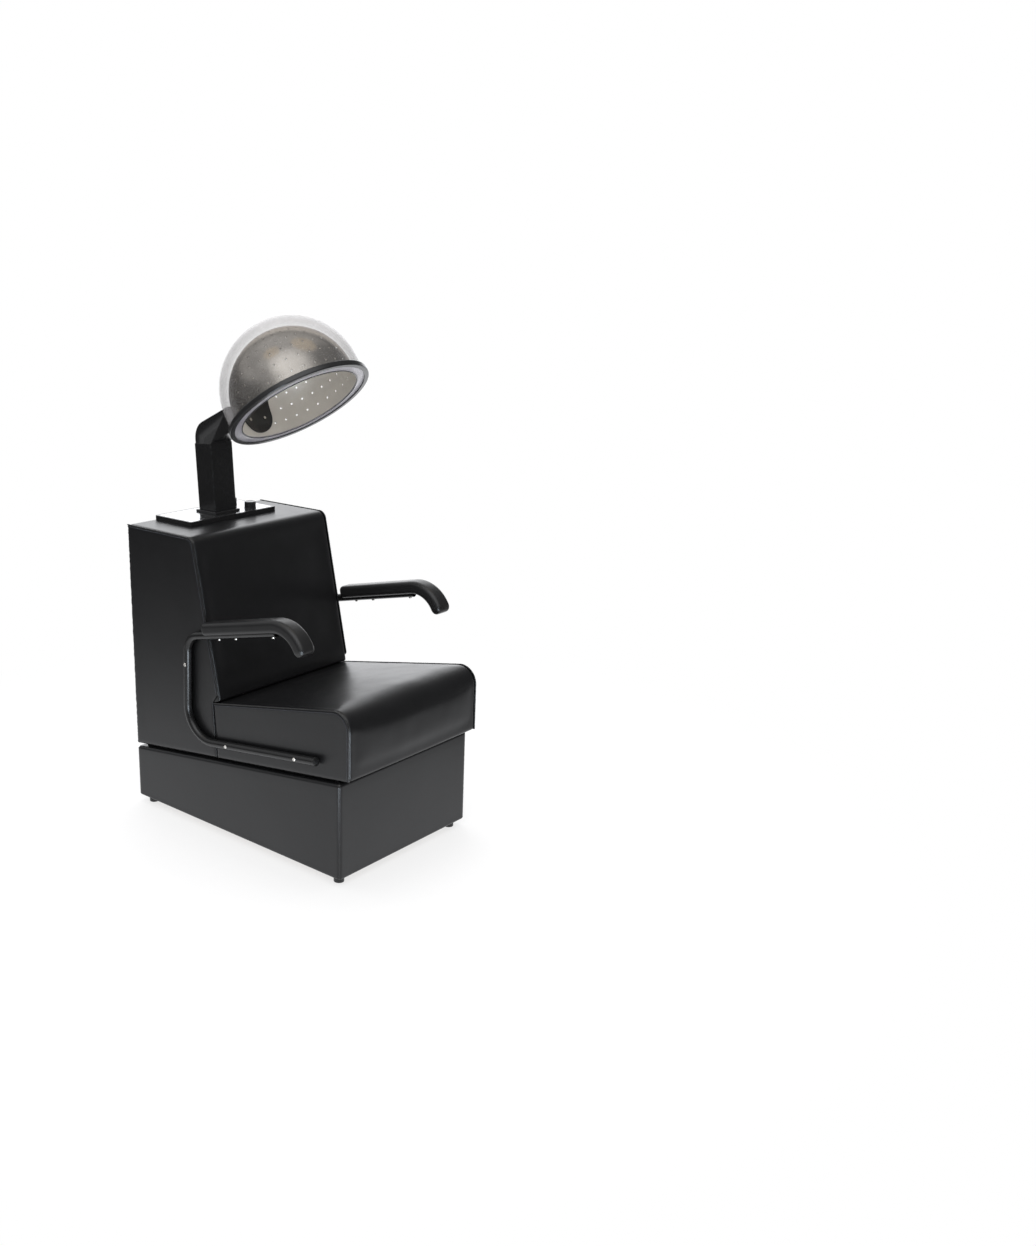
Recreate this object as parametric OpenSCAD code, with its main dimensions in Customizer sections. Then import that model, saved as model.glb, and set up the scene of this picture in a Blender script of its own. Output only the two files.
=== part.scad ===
// Hood hair dryer chair: an upholstered box seat with a dryer in its back,
// a column and elbow that carry the air, and a double-shelled hood on a tilt hinge.
// Millimetres. Z is up, the sitter faces -Y, X = 0 is the plane of symmetry and
// the origin is on the floor under the middle of the overall depth.

/* [Chair body] */
// Overall depth, from the seat's front to the body's rear edge
body_depth = 910; // [860:10:960]
// Width over the upholstered sides
body_width = 556; // [500:2:620]
// Height of the top of the back above the floor
body_top = 900; // [860:5:940]
// Height of the body's underside at the rear
body_rear_bottom = 198; // [190:1:210]
// Slope of the body's underside in degrees, rising to the front
recline = 7.85; // [6:0.05:9]
// Depth of the top, from the rear edge to the front corner of the back
back_top_depth = 294; // [285:1:310]
// Lean of the back's front face in degrees
back_lean = 11.8; // [10:0.1:12.5]
// Radius of the roll at the top of the back
back_roll = 28; // [15:1:34]
// Thickness of the plywood boards
board_t = 15; // [12:1:18]
// Thickness of the padded vinyl side and top covers
cover_t = 4; // [3:0.5:6]
// Thickness of the thin rear panel
panel_t = 6; // [4:1:9]
// Depth by which the rear panel is set in from the rear edges
panel_inset = 14; // [12:1:20]

/* [Cushions] */
// Height of the crease between the seat and the back
crease_z = 424; // [410:1:440]
// Slope of the seat's top in degrees, rising to the front
seat_slope = 11.2; // [9:0.1:12]
// Thickness of the seat cushion's top slab
seat_pad_t = 75; // [60:1:85]
// Thickness of the padding on the seat's front
seat_front_t = 18; // [12:1:24]
// Radius of the roll at the seat's front
seat_roll = 52; // [40:1:60]
// Thickness of the back cushion
back_pad_t = 50; // [40:1:60]
// Distance of the seat side's rear seam behind the crease
side_seam = 26; // [20:1:32]
// Lean of the seat side's rear seam in degrees
seam_lean = 3.8; // [0:0.2:8]
// Width of the groove between the seat's and the back's side covers
seam_groove = 2; // [1:0.5:4]
// Height of the crown on the middle of each cushion
crown = 8; // [4:0.5:10]
// Radius at which a cushion is drawn in at its side seams
seam_r = 9; // [6:0.5:12]

/* [Plinth] */
// Width by which the plinth stands out past each side of the body
plinth_over = 2; // [0:0.5:6]
// Distance of the plinth's front face behind the seat's front
plinth_setback = 36; // [20:1:50]
// Radius of the plinth's upright corners
plinth_corner_r = 12; // [6:1:20]
// Height of the shadow gap between the plinth and the body
shadow_gap = 12; // [8:1:16]
// Distance of the spacer board inside the plinth's faces
spacer_inset = 24; // [18:1:40]
// Clear height under the plinth
foot_h = 25; // [18:1:32]
// Diameter of a foot
foot_d = 30; // [24:1:36]
// Distance of a foot's centre inside the plinth's faces
foot_inset = 34; // [28:1:50]
// Diameter of the bolt in each foot
foot_bolt_d = 8; // [6:1:10]

/* [Arms] */
// Diameter of the arm tube
tube_d = 25; // [22:0.5:28]
// Wall of the arm tube
tube_wall = 2; // [1.5:0.1:2.5]
// Height of the pad's underside at its rear end
pad_rear_z = 630; // [610:1:650]
// Distance of the pad's rear end ahead of the body's rear edge
pad_rear_y = 374; // [360:1:390]
// Slope of the pad in degrees, rising to the front
pad_slope = 12.9; // [10:0.1:14]
// Length of the straight part of the pad
pad_straight = 288; // [260:1:310]
// Radius of the pad's downward bend on its middle line
pad_bend_r = 94; // [80:1:110]
// Angle of the pad's downward bend
pad_bend = 73; // [55:1:80]
// Width of the pad
pad_w = 56; // [48:1:60]
// Thickness of the pad
pad_t = 38; // [34:1:44]
// Height of the lower tube's axis above the body's underside
arm_low = 50; // [44:1:60]
// Distance of the upright tube's foot ahead of the body's rear edge
arm_upright_y = 264; // [255:1:285]
// Lean of the upright tube in degrees, its foot to the rear
arm_lean = 2.6; // [0:0.1:4]
// Distance of the lower tube's front end behind the seat's front
arm_front = 118; // [100:1:150]
// Radius of the upper bend
arm_bend_top = 58; // [50:1:64]
// Radius of the lower bend
arm_bend_low = 95; // [80:1:100]
// Diameter of the arm screws' heads
arm_screw_head = 11; // [9:0.5:13]
// Diameter of the arm screws' shanks
arm_screw_d = 6; // [5:0.5:8]
// Reach of an arm screw behind its head
arm_screw_len = 42; // [38:1:46]
// Diameter of the pad screws' heads
pad_screw_head = 10; // [8:0.5:12]
// Diameter of the pad screws' shanks
pad_screw_d = 5; // [4:0.5:6]

/* [Top tray and knobs] */
// Width of the tray
tray_w = 352; // [320:2:380]
// Depth of the tray
tray_d = 166; // [150:1:176]
// Thickness of the tray
tray_t = 14; // [10:1:18]
// Distance of the tray's rear edge ahead of the body's rear edge
tray_rear = 8; // [4:1:14]
// Radius of the tray's corners
tray_corner_r = 5; // [3:1:14]
// Width of the tray's black edge around the face plate
tray_edge = 9; // [6:1:14]
// Thickness of the face plate
plate_t = 1.5; // [1:0.5:3]
// Diameter of a knob
knob_d = 38; // [30:1:42]
// Height of a knob
knob_h = 22; // [16:1:26]
// Sideways distance of the knobs from the middle
knob_x = 97; // [85:1:110]
// Distance of the front knob from the tray's front edge
knob_front = 33; // [25:1:40]
// Distance between the two knobs
knob_pitch = 88; // [70:1:95]
// Diameter of a control shaft
shaft_d = 6; // [5:0.5:8]
// Gap under a knob
knob_gap = 0.8; // [0.5:0.1:2]

/* [Column and elbow] */
// Width of the column
column_w = 87; // [80:1:94]
// Depth of the column
column_d = 74; // [68:1:80]
// Wall of the column and the elbow
column_wall = 3; // [2.5:0.25:4]
// Length of the column
column_len = 213; // [180:1:250]
// Backward lean of the column in degrees
column_lean = 3.7; // [0:0.1:5]
// Distance of the column's foot ahead of the body's rear edge, on its middle line
column_y = 99; // [92:1:104]
// Height of the collar at the column's foot
collar_h = 7; // [4:1:12]
// Width of the collar around the column
collar_w = 8; // [5:1:12]
// Step by which each side of the elbow is narrower than the column
elbow_step = 3.2; // [3.1:0.1:5]
// Rise of the elbow's forward leg in degrees
elbow_rise = 25; // [20:0.5:30]
// Length of the elbow's forward leg from its inner corner
elbow_len = 117; // [110:1:135]
// Radius of the elbow's heel
elbow_heel_r = 57; // [45:1:62]
// Length of the elbow's spigot inside the column
spigot_len = 45; // [35:1:60]

/* [Hood] */
// Outer radius of the clear outer dome
outer_r = 207.5; // [195:0.5:220]
// Height of the outer dome's straight skirt
outer_skirt = 53; // [45:1:60]
// Space from the outer dome's face in to the perforated inner dome's face
dome_gap = 23.5; // [21.5:0.5:33]
// Height of the inner dome's straight skirt
inner_skirt = 43; // [38:1:48]
// Wall of both domes
dome_t = 2.5; // [2:0.25:3.5]
// Width by which the black rim stands out past the outer dome
rim_over = 9.5; // [4.5:0.5:20]
// Height of the black rim
rim_h = 16; // [12:1:20]
// Width of the flange, from the outer dome's face in to the opening
flange_w = 29.5; // [27.5:0.5:42]
// Thickness of the flange between the rim and the opening
flange_t = 2.5; // [2:0.25:4]
// Tilt of the rim at rest in degrees, its front edge up
hood_tilt = 35.5; // [30:0.5:40]
// Angle of the neck above the rim plane in degrees
neck_elev = 10.8; // [10:0.1:15]
// Distance from the tilt hinge to the outer dome
neck_reach = 42; // [40:0.5:50]
// Diameter of an air hole in the inner dome
hole_d = 6; // [4:0.5:8]
// Rows of air holes
hole_rows = 4; // [1:1:6]
// Height of the lowest row above the rim
hole_first = 35; // [28:1:40]
// Distance between rows along the dome
hole_row_pitch = 37.5; // [30:0.5:40]
// Air holes around a full row
hole_count = 32; // [16:1:36]

/* [Hood hinge] */
// Radius of the neck's barrel
barrel_r = 31; // [28:0.5:32]
// Width of the neck's barrel
barrel_w = 70; // [60:1:71]
// Distance of the hinge behind the elbow's end
hinge_back = 12; // [9:0.5:14]
// Diameter of a hinge pin
pin_d = 12; // [8:0.5:14]
// Length of a hinge pin inside the barrel
pin_in = 14; // [10:1:16]
// Radial clearance of a hinge pin in the barrel
pin_play = 0.05; // [0.02:0.01:0.1]
// Diameter of the air way through the neck
neck_bore = 38; // [30:1:40]
// Width of the neck's clamping plates
bezel_w = 110; // [96:1:120]
// Height of the neck's inner clamping plate
bezel_h = 146; // [130:1:156]
// Thickness of the neck's clamping plates
bezel_t = 6; // [4:0.5:7]

/* [Dryer unit] */
// Depth of the dryer shelf below the top of the back
shelf_drop = 365; // [355:1:380]
// Radius of the blower scroll
scroll_r = 88; // [80:1:90]
// Width of the blower scroll
scroll_w = 86; // [76:1:94]
// Wall of the sheet-metal housings
sheet_t = 2; // [1:0.25:3]
// Radius of the blower wheel
wheel_r = 66; // [55:1:70]
// Width of the blower wheel
wheel_w = 56; // [44:1:60]
// Blades on the blower wheel
blades = 24; // [12:1:32]
// Diameter of the motor
motor_d = 84; // [70:1:92]
// Length of the motor
motor_len = 78; // [60:1:90]
// Diameter of the motor shaft
motor_shaft_d = 8; // [6:0.5:10]
// Radial running clearance of the motor shaft
shaft_play = 0.05; // [0.02:0.01:0.1]
// Width of the air outlet
outlet_w = 86; // [70:1:88]
// Depth of the air outlet
outlet_d = 70; // [60:1:72]
// Height of the heater housing
heater_h = 104; // [90:1:110]

/* [Hidden] */

vinyl = [0.07, 0.07, 0.08];
wood = [0.72, 0.56, 0.36];
black = [0.1, 0.1, 0.11];
steel = [0.7, 0.71, 0.73];
sheet = [0.62, 0.64, 0.66];

seat_gap = 0.3;        // clearance between a soft piece and its neighbour
board_play = 0.02;     // clearance under the floor board
big = 2000;            // larger than anything it cuts
arc_step = 9;          // degrees per step on an outline's round corner

rear_y = body_depth / 2;
front_y = -body_depth / 2;
half_w = body_width / 2;
inner_half = half_w - cover_t;
board_in = inner_half - board_t;
plinth_width = body_width + 2 * plinth_over;
shelf_z = body_top - shelf_drop;
inner_r = outer_r - dome_gap;
rim_r = outer_r + rim_over;
opening_r = outer_r - flange_w;

// ---- outlines are drawn in the side plane, as [y, z] ----

function unit(v) = v / norm(v);
function perp(v) = [-v[1], v[0]];
function cross2(a, b) = a[0] * b[1] - a[1] * b[0];

// The points of one corner, rounded to the radius r
function corner(a, b, c, r) =
    r == 0 ? [b] :
    let(
        u = unit(a - b),
        v = unit(c - b),
        half = acos(u * v) / 2,
        centre = b + unit(u + v) * (r / sin(half)),
        start = b + u * (r / tan(half)) - centre,
        turn = (180 - 2 * half) * sign(cross2(b - a, c - b)),
        steps = max(2, ceil(abs(turn) / arc_step))
    )
    [for (i = [0:steps])
        let(t = turn * i / steps)
        centre + [start[0] * cos(t) - start[1] * sin(t), start[0] * sin(t) + start[1] * cos(t)]];

// An outline of [y, z, radius] corners
function rounded(p) = [
    for (i = [0:len(p) - 1])
        let(
            a = p[(i + len(p) - 1) % len(p)],
            b = p[i],
            c = p[(i + 1) % len(p)]
        )
        each corner([a[0], a[1]], [b[0], b[1]], [c[0], c[1]], b[2])];

// A side outline extruded from x0 to x1
module side(x0, x1) {
    translate([x0, 0, 0])
        rotate([90, 0, 90])
            linear_extrude(x1 - x0) children();
}

module both() {
    children();
    mirror([1, 0, 0]) children();
}

function underside(y) = body_rear_bottom + (rear_y - y) * tan(recline);
function back_front(z) = rear_y - back_top_depth - (body_top - z) * tan(back_lean);
crease_y = back_front(crease_z);
function seat_top(y) = crease_z + (crease_y - y) * tan(seat_slope);

// Where the plane that lies `off` behind the back's face meets the seat line lowered by `drop`
function meet_y(off, drop) =
    (rear_y - back_top_depth + off
        - tan(back_lean) * (body_top - crease_z - crease_y * tan(seat_slope) + drop))
    / (1 + tan(back_lean) * tan(seat_slope));

function pad_under(y) = seat_top(y) - seat_pad_t;
function back_plane(z) = back_front(z) + back_pad_t;
function lerp(a, b, t) = a + (b - a) * t;
function cross_point(p, u, q, v) = p + u * cross2(q - p, v) / cross2(u, v);

bulge = crown / 2;                        // crown on the seat's front face
seat_face = front_y + bulge;
front_plane = seat_face + seat_front_t;   // front of the front board
board_top = body_top - cover_t - board_t; // underside of the top board
panel_in = rear_y - panel_inset - panel_t;
cushion_half = inner_half - seat_gap;
seam_top_y = crease_y + side_seam;
seam_foot_y = seam_top_y - (crease_z - underside(seam_top_y)) * tan(seam_lean);

// ---- soft forms: a closed skin lofted between an outer and an inner line ----

// Share of the half width at which the stations across a cushion lie
stations = [1, 0.991, 0.982, 0.97, 0.93, 0.8, 0.6, 0.4, 0.2, 0];
across = concat([for (s = stations) -s], [for (i = [len(stations) - 2:-1:0]) stations[i]]);

function drawn_in(x, half) =
    let(over = max(0, abs(x) - (half - seam_r)))
    seam_r - sqrt(seam_r * seam_r - over * over);

// outer is a list of [point, outward direction, crown height], inner a list of points
module cushion(outer, inner, half) {
    n = len(outer);
    ring = 2 * n;
    last = (len(across) - 1) * ring;
    function skin(x) = [for (o = outer)
        o[0] + o[1] * (o[2] * (1 - pow(x / half, 2)) - (norm(o[1]) > 0 ? drawn_in(x, half) : 0))];
    points = [for (s = across)
        let(x = s * half, o = skin(x))
        each concat(
            [for (p = o) [x, p[0], p[1]]],
            [for (i = [n - 1:-1:0]) [x, inner[i][0], inner[i][1]]])];
    walls = [for (j = [0:len(across) - 2], i = [0:ring - 1])
        let(
            a = j * ring + i,
            b = j * ring + (i + 1) % ring
        )
        each [[a + ring, b + ring, b], [a + ring, b, a]]];
    ends = [for (i = [0:n - 2])
        let(
            a = i,
            b = i + 1,
            c = ring - 2 - i,
            d = ring - 1 - i
        )
        each [[a, b, c], [a, c, d], [last + c, last + b, last + a], [last + d, last + c, last + a]]];
    polyhedron(points, concat(walls, ends));
}

// A rounded bar swept along a path of [centre, upward direction, scale] stations
module swept_pad(path, width, depth) {
    sides = 20;
    function squash(v) = sign(v) * pow(abs(v), 0.5);
    points = concat(
        [for (s = path, i = [0:sides - 1])
            let(
                a = 360 * i / sides,
                up = s[1] * (depth / 2 * s[2] * squash(sin(a)))
            )
            [width / 2 * s[2] * squash(cos(a)), s[0][0] + up[0], s[0][1] + up[1]]],
        [for (s = [path[0], path[len(path) - 1]]) [0, s[0][0], s[0][1]]]);
    count = len(path);
    first_mid = count * sides;
    last_ring = (count - 1) * sides;
    walls = [for (j = [0:count - 2], i = [0:sides - 1])
        let(
            a = j * sides + i,
            b = j * sides + (i + 1) % sides
        )
        each [[a, b, b + sides], [a, b + sides, a + sides]]];
    ends = [for (i = [0:sides - 1])
        let(k = (i + 1) % sides)
        each [[first_mid, k, i], [first_mid + 1, last_ring + i, last_ring + k]]];
    polyhedron(points, concat(walls, ends));
}

// ---- plinth ----

plinth_front = front_y + plinth_setback;
plinth_mid = (plinth_front + rear_y) / 2;
plinth_depth = rear_y - plinth_front;

module round_plate(w, d, r) {
    square([w - 2 * r, d], center = true);
    square([w, d - 2 * r], center = true);
    for (x = [-1, 1], y = [-1, 1])
        translate([x * (w / 2 - r), y * (d / 2 - r)]) circle(r, $fn = 48);
}

// The plinth's wedge, drawn in from its faces by `inset` and from its top by `drop`
module plinth_block(inset, drop, low) {
    intersection() {
        translate([0, plinth_mid, low])
            linear_extrude(body_top)
                round_plate(
                    plinth_width - 2 * inset,
                    plinth_depth - 2 * inset,
                    max(1, plinth_corner_r - inset));
        side(-big / 2, big / 2)
            polygon([
                [-big, low],
                [big, low],
                [big, underside(big) - shadow_gap - drop],
                [-big, underside(-big) - shadow_gap - drop]]);
    }
}

module plinth_cover() {
    color(vinyl)
        difference() {
            plinth_block(0, 0, foot_h);
            plinth_block(cover_t, -board_t, foot_h - 1);
        }
}

module plinth_box() {
    color(wood)
        difference() {
            plinth_block(cover_t, 0, foot_h);
            plinth_block(cover_t + board_t, board_t, foot_h - 1);
        }
}

module plinth_bottom() {
    color(wood)
        difference() {
            plinth_block(cover_t + board_t, board_t, foot_h);
            translate([-big / 2, -big / 2, foot_h + board_t]) cube(big);
            foot_places() cylinder(d = foot_bolt_d, h = big, center = true, $fn = 32);
        }
}

// The recessed board that carries the body on the plinth
module spacer_board() {
    color(black)
        difference() {
            plinth_block(spacer_inset, board_play - shadow_gap, foot_h);
            side(-big / 2, big / 2)
                polygon([
                    [-big, -big],
                    [big, -big],
                    [big, underside(big) - shadow_gap],
                    [-big, underside(-big) - shadow_gap]]);
        }
}

module foot_places() {
    for (x = [-1, 1], y = [-1, 1])
        translate([
            x * (plinth_width / 2 - foot_inset),
            plinth_mid + y * (plinth_depth / 2 - foot_inset),
            0]) children();
}

foot_head = foot_bolt_d * 1.6;
foot_head_h = foot_bolt_d * 0.6;
foot_recess = 3;

module feet() {
    color(black)
        foot_places()
            difference() {
                cylinder(d = foot_d, h = foot_h, $fn = 48);
                translate([0, 0, -1]) cylinder(d = foot_bolt_d, h = foot_h + 2, $fn = 32);
                translate([0, 0, -1])
                    cylinder(d = foot_head, h = 1 + foot_recess + foot_head_h, $fn = 32);
            }
}

module foot_bolts() {
    color(steel)
        foot_places() {
            translate([0, 0, foot_recess]) cylinder(d = foot_head, h = foot_head_h, $fn = 32);
            translate([0, 0, foot_recess])
                cylinder(d = foot_bolt_d, h = foot_h + board_t - foot_recess + 4, $fn = 32);
        }
}

// ---- body boards ----

// Centre of the column's foot, and of the air way below it
duct_y = rear_y - column_y;

// Runs along the bottom of the body between two y values
module base_strip(y0, y1, x0, x1) {
    side(x0, x1)
        polygon([
            [y0, underside(y0)],
            [y1, underside(y1)],
            [y1, underside(y1) + board_t],
            [y0, underside(y0) + board_t]]);
}

knee_y = meet_y(back_pad_t, seat_pad_t);
knee_rear = meet_y(back_pad_t + board_t, seat_pad_t);

module side_board() {
    difference() {
        side(board_in, inner_half)
            polygon([
                [rear_y, underside(rear_y)],
                [rear_y, board_top],
                [back_plane(board_top), board_top],
                [knee_y, pad_under(knee_y)],
                [front_plane, pad_under(front_plane)],
                [front_plane, underside(front_plane)]]);
        arm_screw_places() arm_screw_hole();
    }
}

module side_board_left() {
    color(wood) side_board();
}

module side_board_right() {
    color(wood) mirror([1, 0, 0]) side_board();
}

module floor_board() {
    color(wood) base_strip(front_plane + board_t, panel_in, -board_in, board_in);
}

module front_board() {
    rear = front_plane + board_t;
    color(wood)
        side(-board_in, board_in)
            polygon([
                [front_plane, underside(front_plane)],
                [rear, underside(rear)],
                [rear, pad_under(rear) - board_t],
                [front_plane, pad_under(front_plane) - board_t]]);
}

module seat_board() {
    color(wood)
        side(-board_in, board_in)
            polygon([
                [front_plane, pad_under(front_plane) - board_t],
                [knee_rear, pad_under(knee_rear) - board_t],
                [knee_rear, pad_under(knee_rear)],
                [front_plane, pad_under(front_plane)]]);
}

module back_board() {
    color(wood)
        side(-board_in, board_in)
            polygon([
                [knee_y, pad_under(knee_y)],
                [knee_rear, pad_under(knee_rear)],
                [back_plane(board_top) + board_t, board_top],
                [back_plane(board_top), board_top]]);
}

// The way for the air and for the two control shafts through the top
module top_openings(low, high) {
    translate([0, duct_y, (low + high) / 2])
        cube([sleeve_w + 1, sleeve_d + 1, high - low], center = true);
    for (y = knob_ys)
        translate([knob_x, y, low]) cylinder(d = shaft_d + 2, h = high - low, $fn = 32);
}

module top_board() {
    color(wood)
        difference() {
            side(-inner_half, inner_half)
                polygon([
                    [back_plane(board_top), board_top],
                    [rear_y, board_top],
                    [rear_y, board_top + board_t],
                    [back_plane(board_top + board_t), board_top + board_t]]);
            top_openings(board_top - 1, body_top);
        }
}

module shelf_board() {
    low = shelf_z - board_t;
    color(wood)
        side(-board_in, board_in)
            polygon([
                [back_plane(low) + board_t, low],
                [panel_in, low],
                [panel_in, shelf_z],
                [back_plane(shelf_z) + board_t, shelf_z]]);
}

intake_d = 130;
intake_rise = 150;         // height of the air intake above the dryer shelf
intake_z = shelf_z + intake_rise;
gland_rise = 62;           // height of the cable gland above the body's underside
gland_side = 90;           // distance of the cable gland from the side board
gland_z = underside(rear_y) + gland_rise;
gland_x = board_in - gland_side;
gland_thread_d = 16;

module rear_panel() {
    color(black)
        difference() {
            side(-board_in, board_in)
                polygon([
                    [panel_in, underside(panel_in)],
                    [panel_in + panel_t, underside(panel_in + panel_t)],
                    [panel_in + panel_t, board_top],
                    [panel_in, board_top]]);
            translate([0, panel_in, intake_z])
                rotate([90, 0, 0]) cylinder(d = intake_d, h = big, center = true, $fn = 96);
            translate([gland_x, panel_in, gland_z])
                rotate([90, 0, 0]) cylinder(d = gland_thread_d, h = big, center = true, $fn = 48);
            panel_screw_places() cylinder(d = panel_screw_d, h = 3 * panel_t, center = true, $fn = 24);
        }
}

panel_screw_d = 4;

// The screws run forward into the rear edges of the shelf and the floor board
module panel_screw_places() {
    for (x = [-1, 0, 1], z = [shelf_z - board_t / 2, underside(panel_in) + board_t / 2])
        translate([x * (board_in - 30), panel_in + panel_t, z]) rotate([90, 0, 0]) children();
}

module panel_screws() {
    color(steel)
        panel_screw_places() {
            translate([0, 0, -2.5]) cylinder(d = 2 * panel_screw_d, h = 2.5, $fn = 32);
            cylinder(d = panel_screw_d, h = panel_t, $fn = 24);
        }
}

// Gland for the mains lead: an outer collar, a thread and a nut, with a clear bore
module cable_gland() {
    outer = panel_in + panel_t;
    color(black)
        translate([gland_x, outer, gland_z])
            rotate([-90, 0, 0])
                difference() {
                    union() {
                        cylinder(d = 28, h = 5, $fn = 48);
                        cylinder(d1 = 22, d2 = 17, h = panel_inset - 2, $fn = 48);
                        translate([0, 0, -panel_t - 8]) cylinder(d = gland_thread_d, h = panel_t + 9, $fn = 48);
                        translate([0, 0, -panel_t - 6]) cylinder(d = 26, h = 6, $fn = 6);
                    }
                    cylinder(d = 9, h = 6 * panel_t, center = true, $fn = 32);
                }
}

// A slotted sheet over the air intake
module intake_screen() {
    d = intake_d + 24;
    pitch = 10;
    color(sheet)
        translate([0, panel_in + panel_t, intake_z])
            rotate([-90, 0, 0])
                difference() {
                    cylinder(d = d, h = 1.5, $fn = 96);
                    for (row = [-5:5])
                        let(half = sqrt(pow(intake_d / 2 - 4, 2) - pow(row * pitch, 2)) - 3)
                        translate([-half, row * pitch - 2.5, -1]) cube([2 * half, 5, 4]);
                }
}

// ---- covers and cushions ----

module seat_side() {
    difference() {
        side(inner_half, half_w)
            polygon(rounded([
                [seat_face, underside(seat_face), 0],
                [seam_foot_y, underside(seam_foot_y), 0],
                [seam_top_y, seat_top(seam_top_y), 0],
                [seat_face, seat_top(seat_face), seat_roll]]));
        arm_screw_places() arm_screw_hole();
    }
}

module seat_side_left() {
    color(vinyl) seat_side();
}

module seat_side_right() {
    color(vinyl) mirror([1, 0, 0]) seat_side();
}

module back_side() {
    foot_y = seam_foot_y + seam_groove;
    heel_y = seam_top_y + seam_groove;
    notch_z = crease_z + 26;
    difference() {
        side(inner_half, half_w)
            polygon(rounded([
                [rear_y, underside(rear_y), 0],
                [rear_y, body_top, 4],
                [back_front(body_top), body_top, back_roll],
                [back_front(notch_z), notch_z, 10],
                [heel_y, seat_top(heel_y), 0],
                [foot_y, underside(foot_y), 0]]));
        arm_screw_places() arm_screw_hole();
    }
}

module back_side_left() {
    color(vinyl) back_side();
}

module back_side_right() {
    color(vinyl) mirror([1, 0, 0]) back_side();
}

module top_cover() {
    low = body_top - cover_t;
    color(vinyl)
        difference() {
            side(-inner_half, inner_half)
                polygon([
                    [back_plane(low), low],
                    [rear_y, low],
                    [rear_y, body_top],
                    [back_plane(body_top), body_top]]);
            top_openings(low - 1, body_top + 1);
        }
}

seat_up = [sin(seat_slope), cos(seat_slope)];
back_out = [-cos(back_lean), sin(back_lean)];

// An outer line of [point, direction, crown] from a start, round a roll, to an end
function rolled(start, top_dir, top_n, knee, end, end_dir, end_n, r, crown_top, crown_end) =
    let(
        arc = corner(start, knee, end, r),
        m = len(arc) - 1,
        a = arc[0],
        z = arc[m]
    )
    concat(
        [for (i = [0:top_n - 1])
            let(t = i / top_n) [lerp(start, a, t), top_dir, crown_top * sin(180 * pow(t, 1.2))]],
        [for (i = [0:m])
            let(t = i / m) [arc[i], unit(lerp(top_dir, end_dir, t)), crown_end * t]],
        [for (i = [1:end_n])
            let(t = i / end_n) [lerp(z, end, t), end_dir, crown_end]]);

// Inner points that pass the inner corner at the middle of the outer roll
function inner_line(a, b, c, n, k) =
    [for (i = [0:n - 1]) i <= k ? lerp(a, b, i / k) : lerp(b, c, (i - k) / (n - 1 - k))];

seat_rear_low = knee_y - seat_gap;
seat_rear_y = meet_y(back_pad_t, 0) - seat_gap;

module seat_cushion() {
    top_n = 8;
    low_y = underside(seat_face);
    front = front_plane - seat_gap;
    outer = concat(
        [[[seat_rear_y, seat_top(seat_rear_y)], seat_up, 0]],
        rolled(
            [crease_y, crease_z], seat_up, top_n,
            [seat_face, seat_top(seat_face)],
            [seat_face, low_y], [-1, 0], 5,
            seat_roll, crown, bulge));
    n = len(outer);
    inner = inner_line(
        [seat_rear_low, pad_under(seat_rear_low) + seat_gap],
        [front, pad_under(front) + seat_gap],
        [front, underside(front)],
        n, floor((n - 5 + top_n) / 2));
    color(vinyl) cushion(outer, inner, cushion_half);
}

module back_cushion() {
    foot_front = [meet_y(0, -seat_gap * 2), 0];
    foot = [foot_front[0], seat_top(foot_front[0]) + 2 * seat_gap];
    heel_y = meet_y(back_pad_t, -seat_gap * 2) - seat_gap;
    top_rear = back_plane(body_top) - seat_gap;
    outer = rolled(
        [top_rear - 6, body_top], [0, 1], 2,
        [back_front(body_top), body_top],
        foot, back_out, 12,
        back_roll, 0, crown);
    n = len(outer);
    inner = inner_line(
        [top_rear, body_top],
        [(top_rear + heel_y) / 2, (body_top + seat_top(heel_y) + 2 * seat_gap) / 2],
        [heel_y, seat_top(heel_y) + 2 * seat_gap],
        n, floor(n / 2));
    tapered = [for (i = [0:n - 1])
        let(t = i / (n - 1))
        [outer[i][0], outer[i][1], crown * sin(180 * t)]];
    color(vinyl) cushion(tapered, inner, cushion_half);
}

// ---- arms ----

arm_x = half_w + tube_d / 2 + seat_gap;
pad_y = rear_y - pad_rear_y;
pad_dir = [-cos(pad_slope), sin(pad_slope)];
pad_up = [sin(pad_slope), cos(pad_slope)];
pad_start = [pad_y, pad_rear_z];
run_dir = [-cos(recline), sin(recline)];
upright_dir = [-sin(arm_lean), cos(arm_lean)];
arm_foot_y = rear_y - arm_upright_y;
arm_foot = [arm_foot_y, underside(arm_foot_y) + arm_low];
arm_head = cross_point(arm_foot, upright_dir, pad_start, pad_dir);
arm_end_y = front_y + arm_front;
arm_end = [arm_end_y, underside(arm_end_y) + arm_low];
arm_start = pad_start + pad_dir * (pad_straight - 4);

bend_draw = 0.1;   // a bent stretch is drawn slightly thinner than the straight ones
bend_lap = 0.5;    // straight stretches run this far into the bends

// A round tube through p0, p1, p2, p3 in the side plane, bent at p1 and p2
module bent_tube(p0, p1, p2, p3, r1, r2, d, wall) {
    c1 = bend_of(p0, p1, p2, r1);
    c2 = bend_of(p1, p2, p3, r2);
    lap1 = unit(p1 - p0) * bend_lap;
    lap2 = unit(p2 - p1) * bend_lap;
    lap3 = unit(p3 - p2) * bend_lap;
    leg(p0, c1[1] + lap1, d, wall);
    tube_bend(c1, r1, d - bend_draw, wall);
    leg(c1[2] - lap2, c2[1] + lap2, d, wall);
    tube_bend(c2, r2, d - bend_draw, wall);
    leg(c2[2] - lap3, p3, d, wall);
}

module tube_section(d, wall) {
    difference() {
        circle(d = d, $fn = 48);
        if (wall > 0) circle(d = d - 2 * wall, $fn = 48);
    }
}

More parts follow.
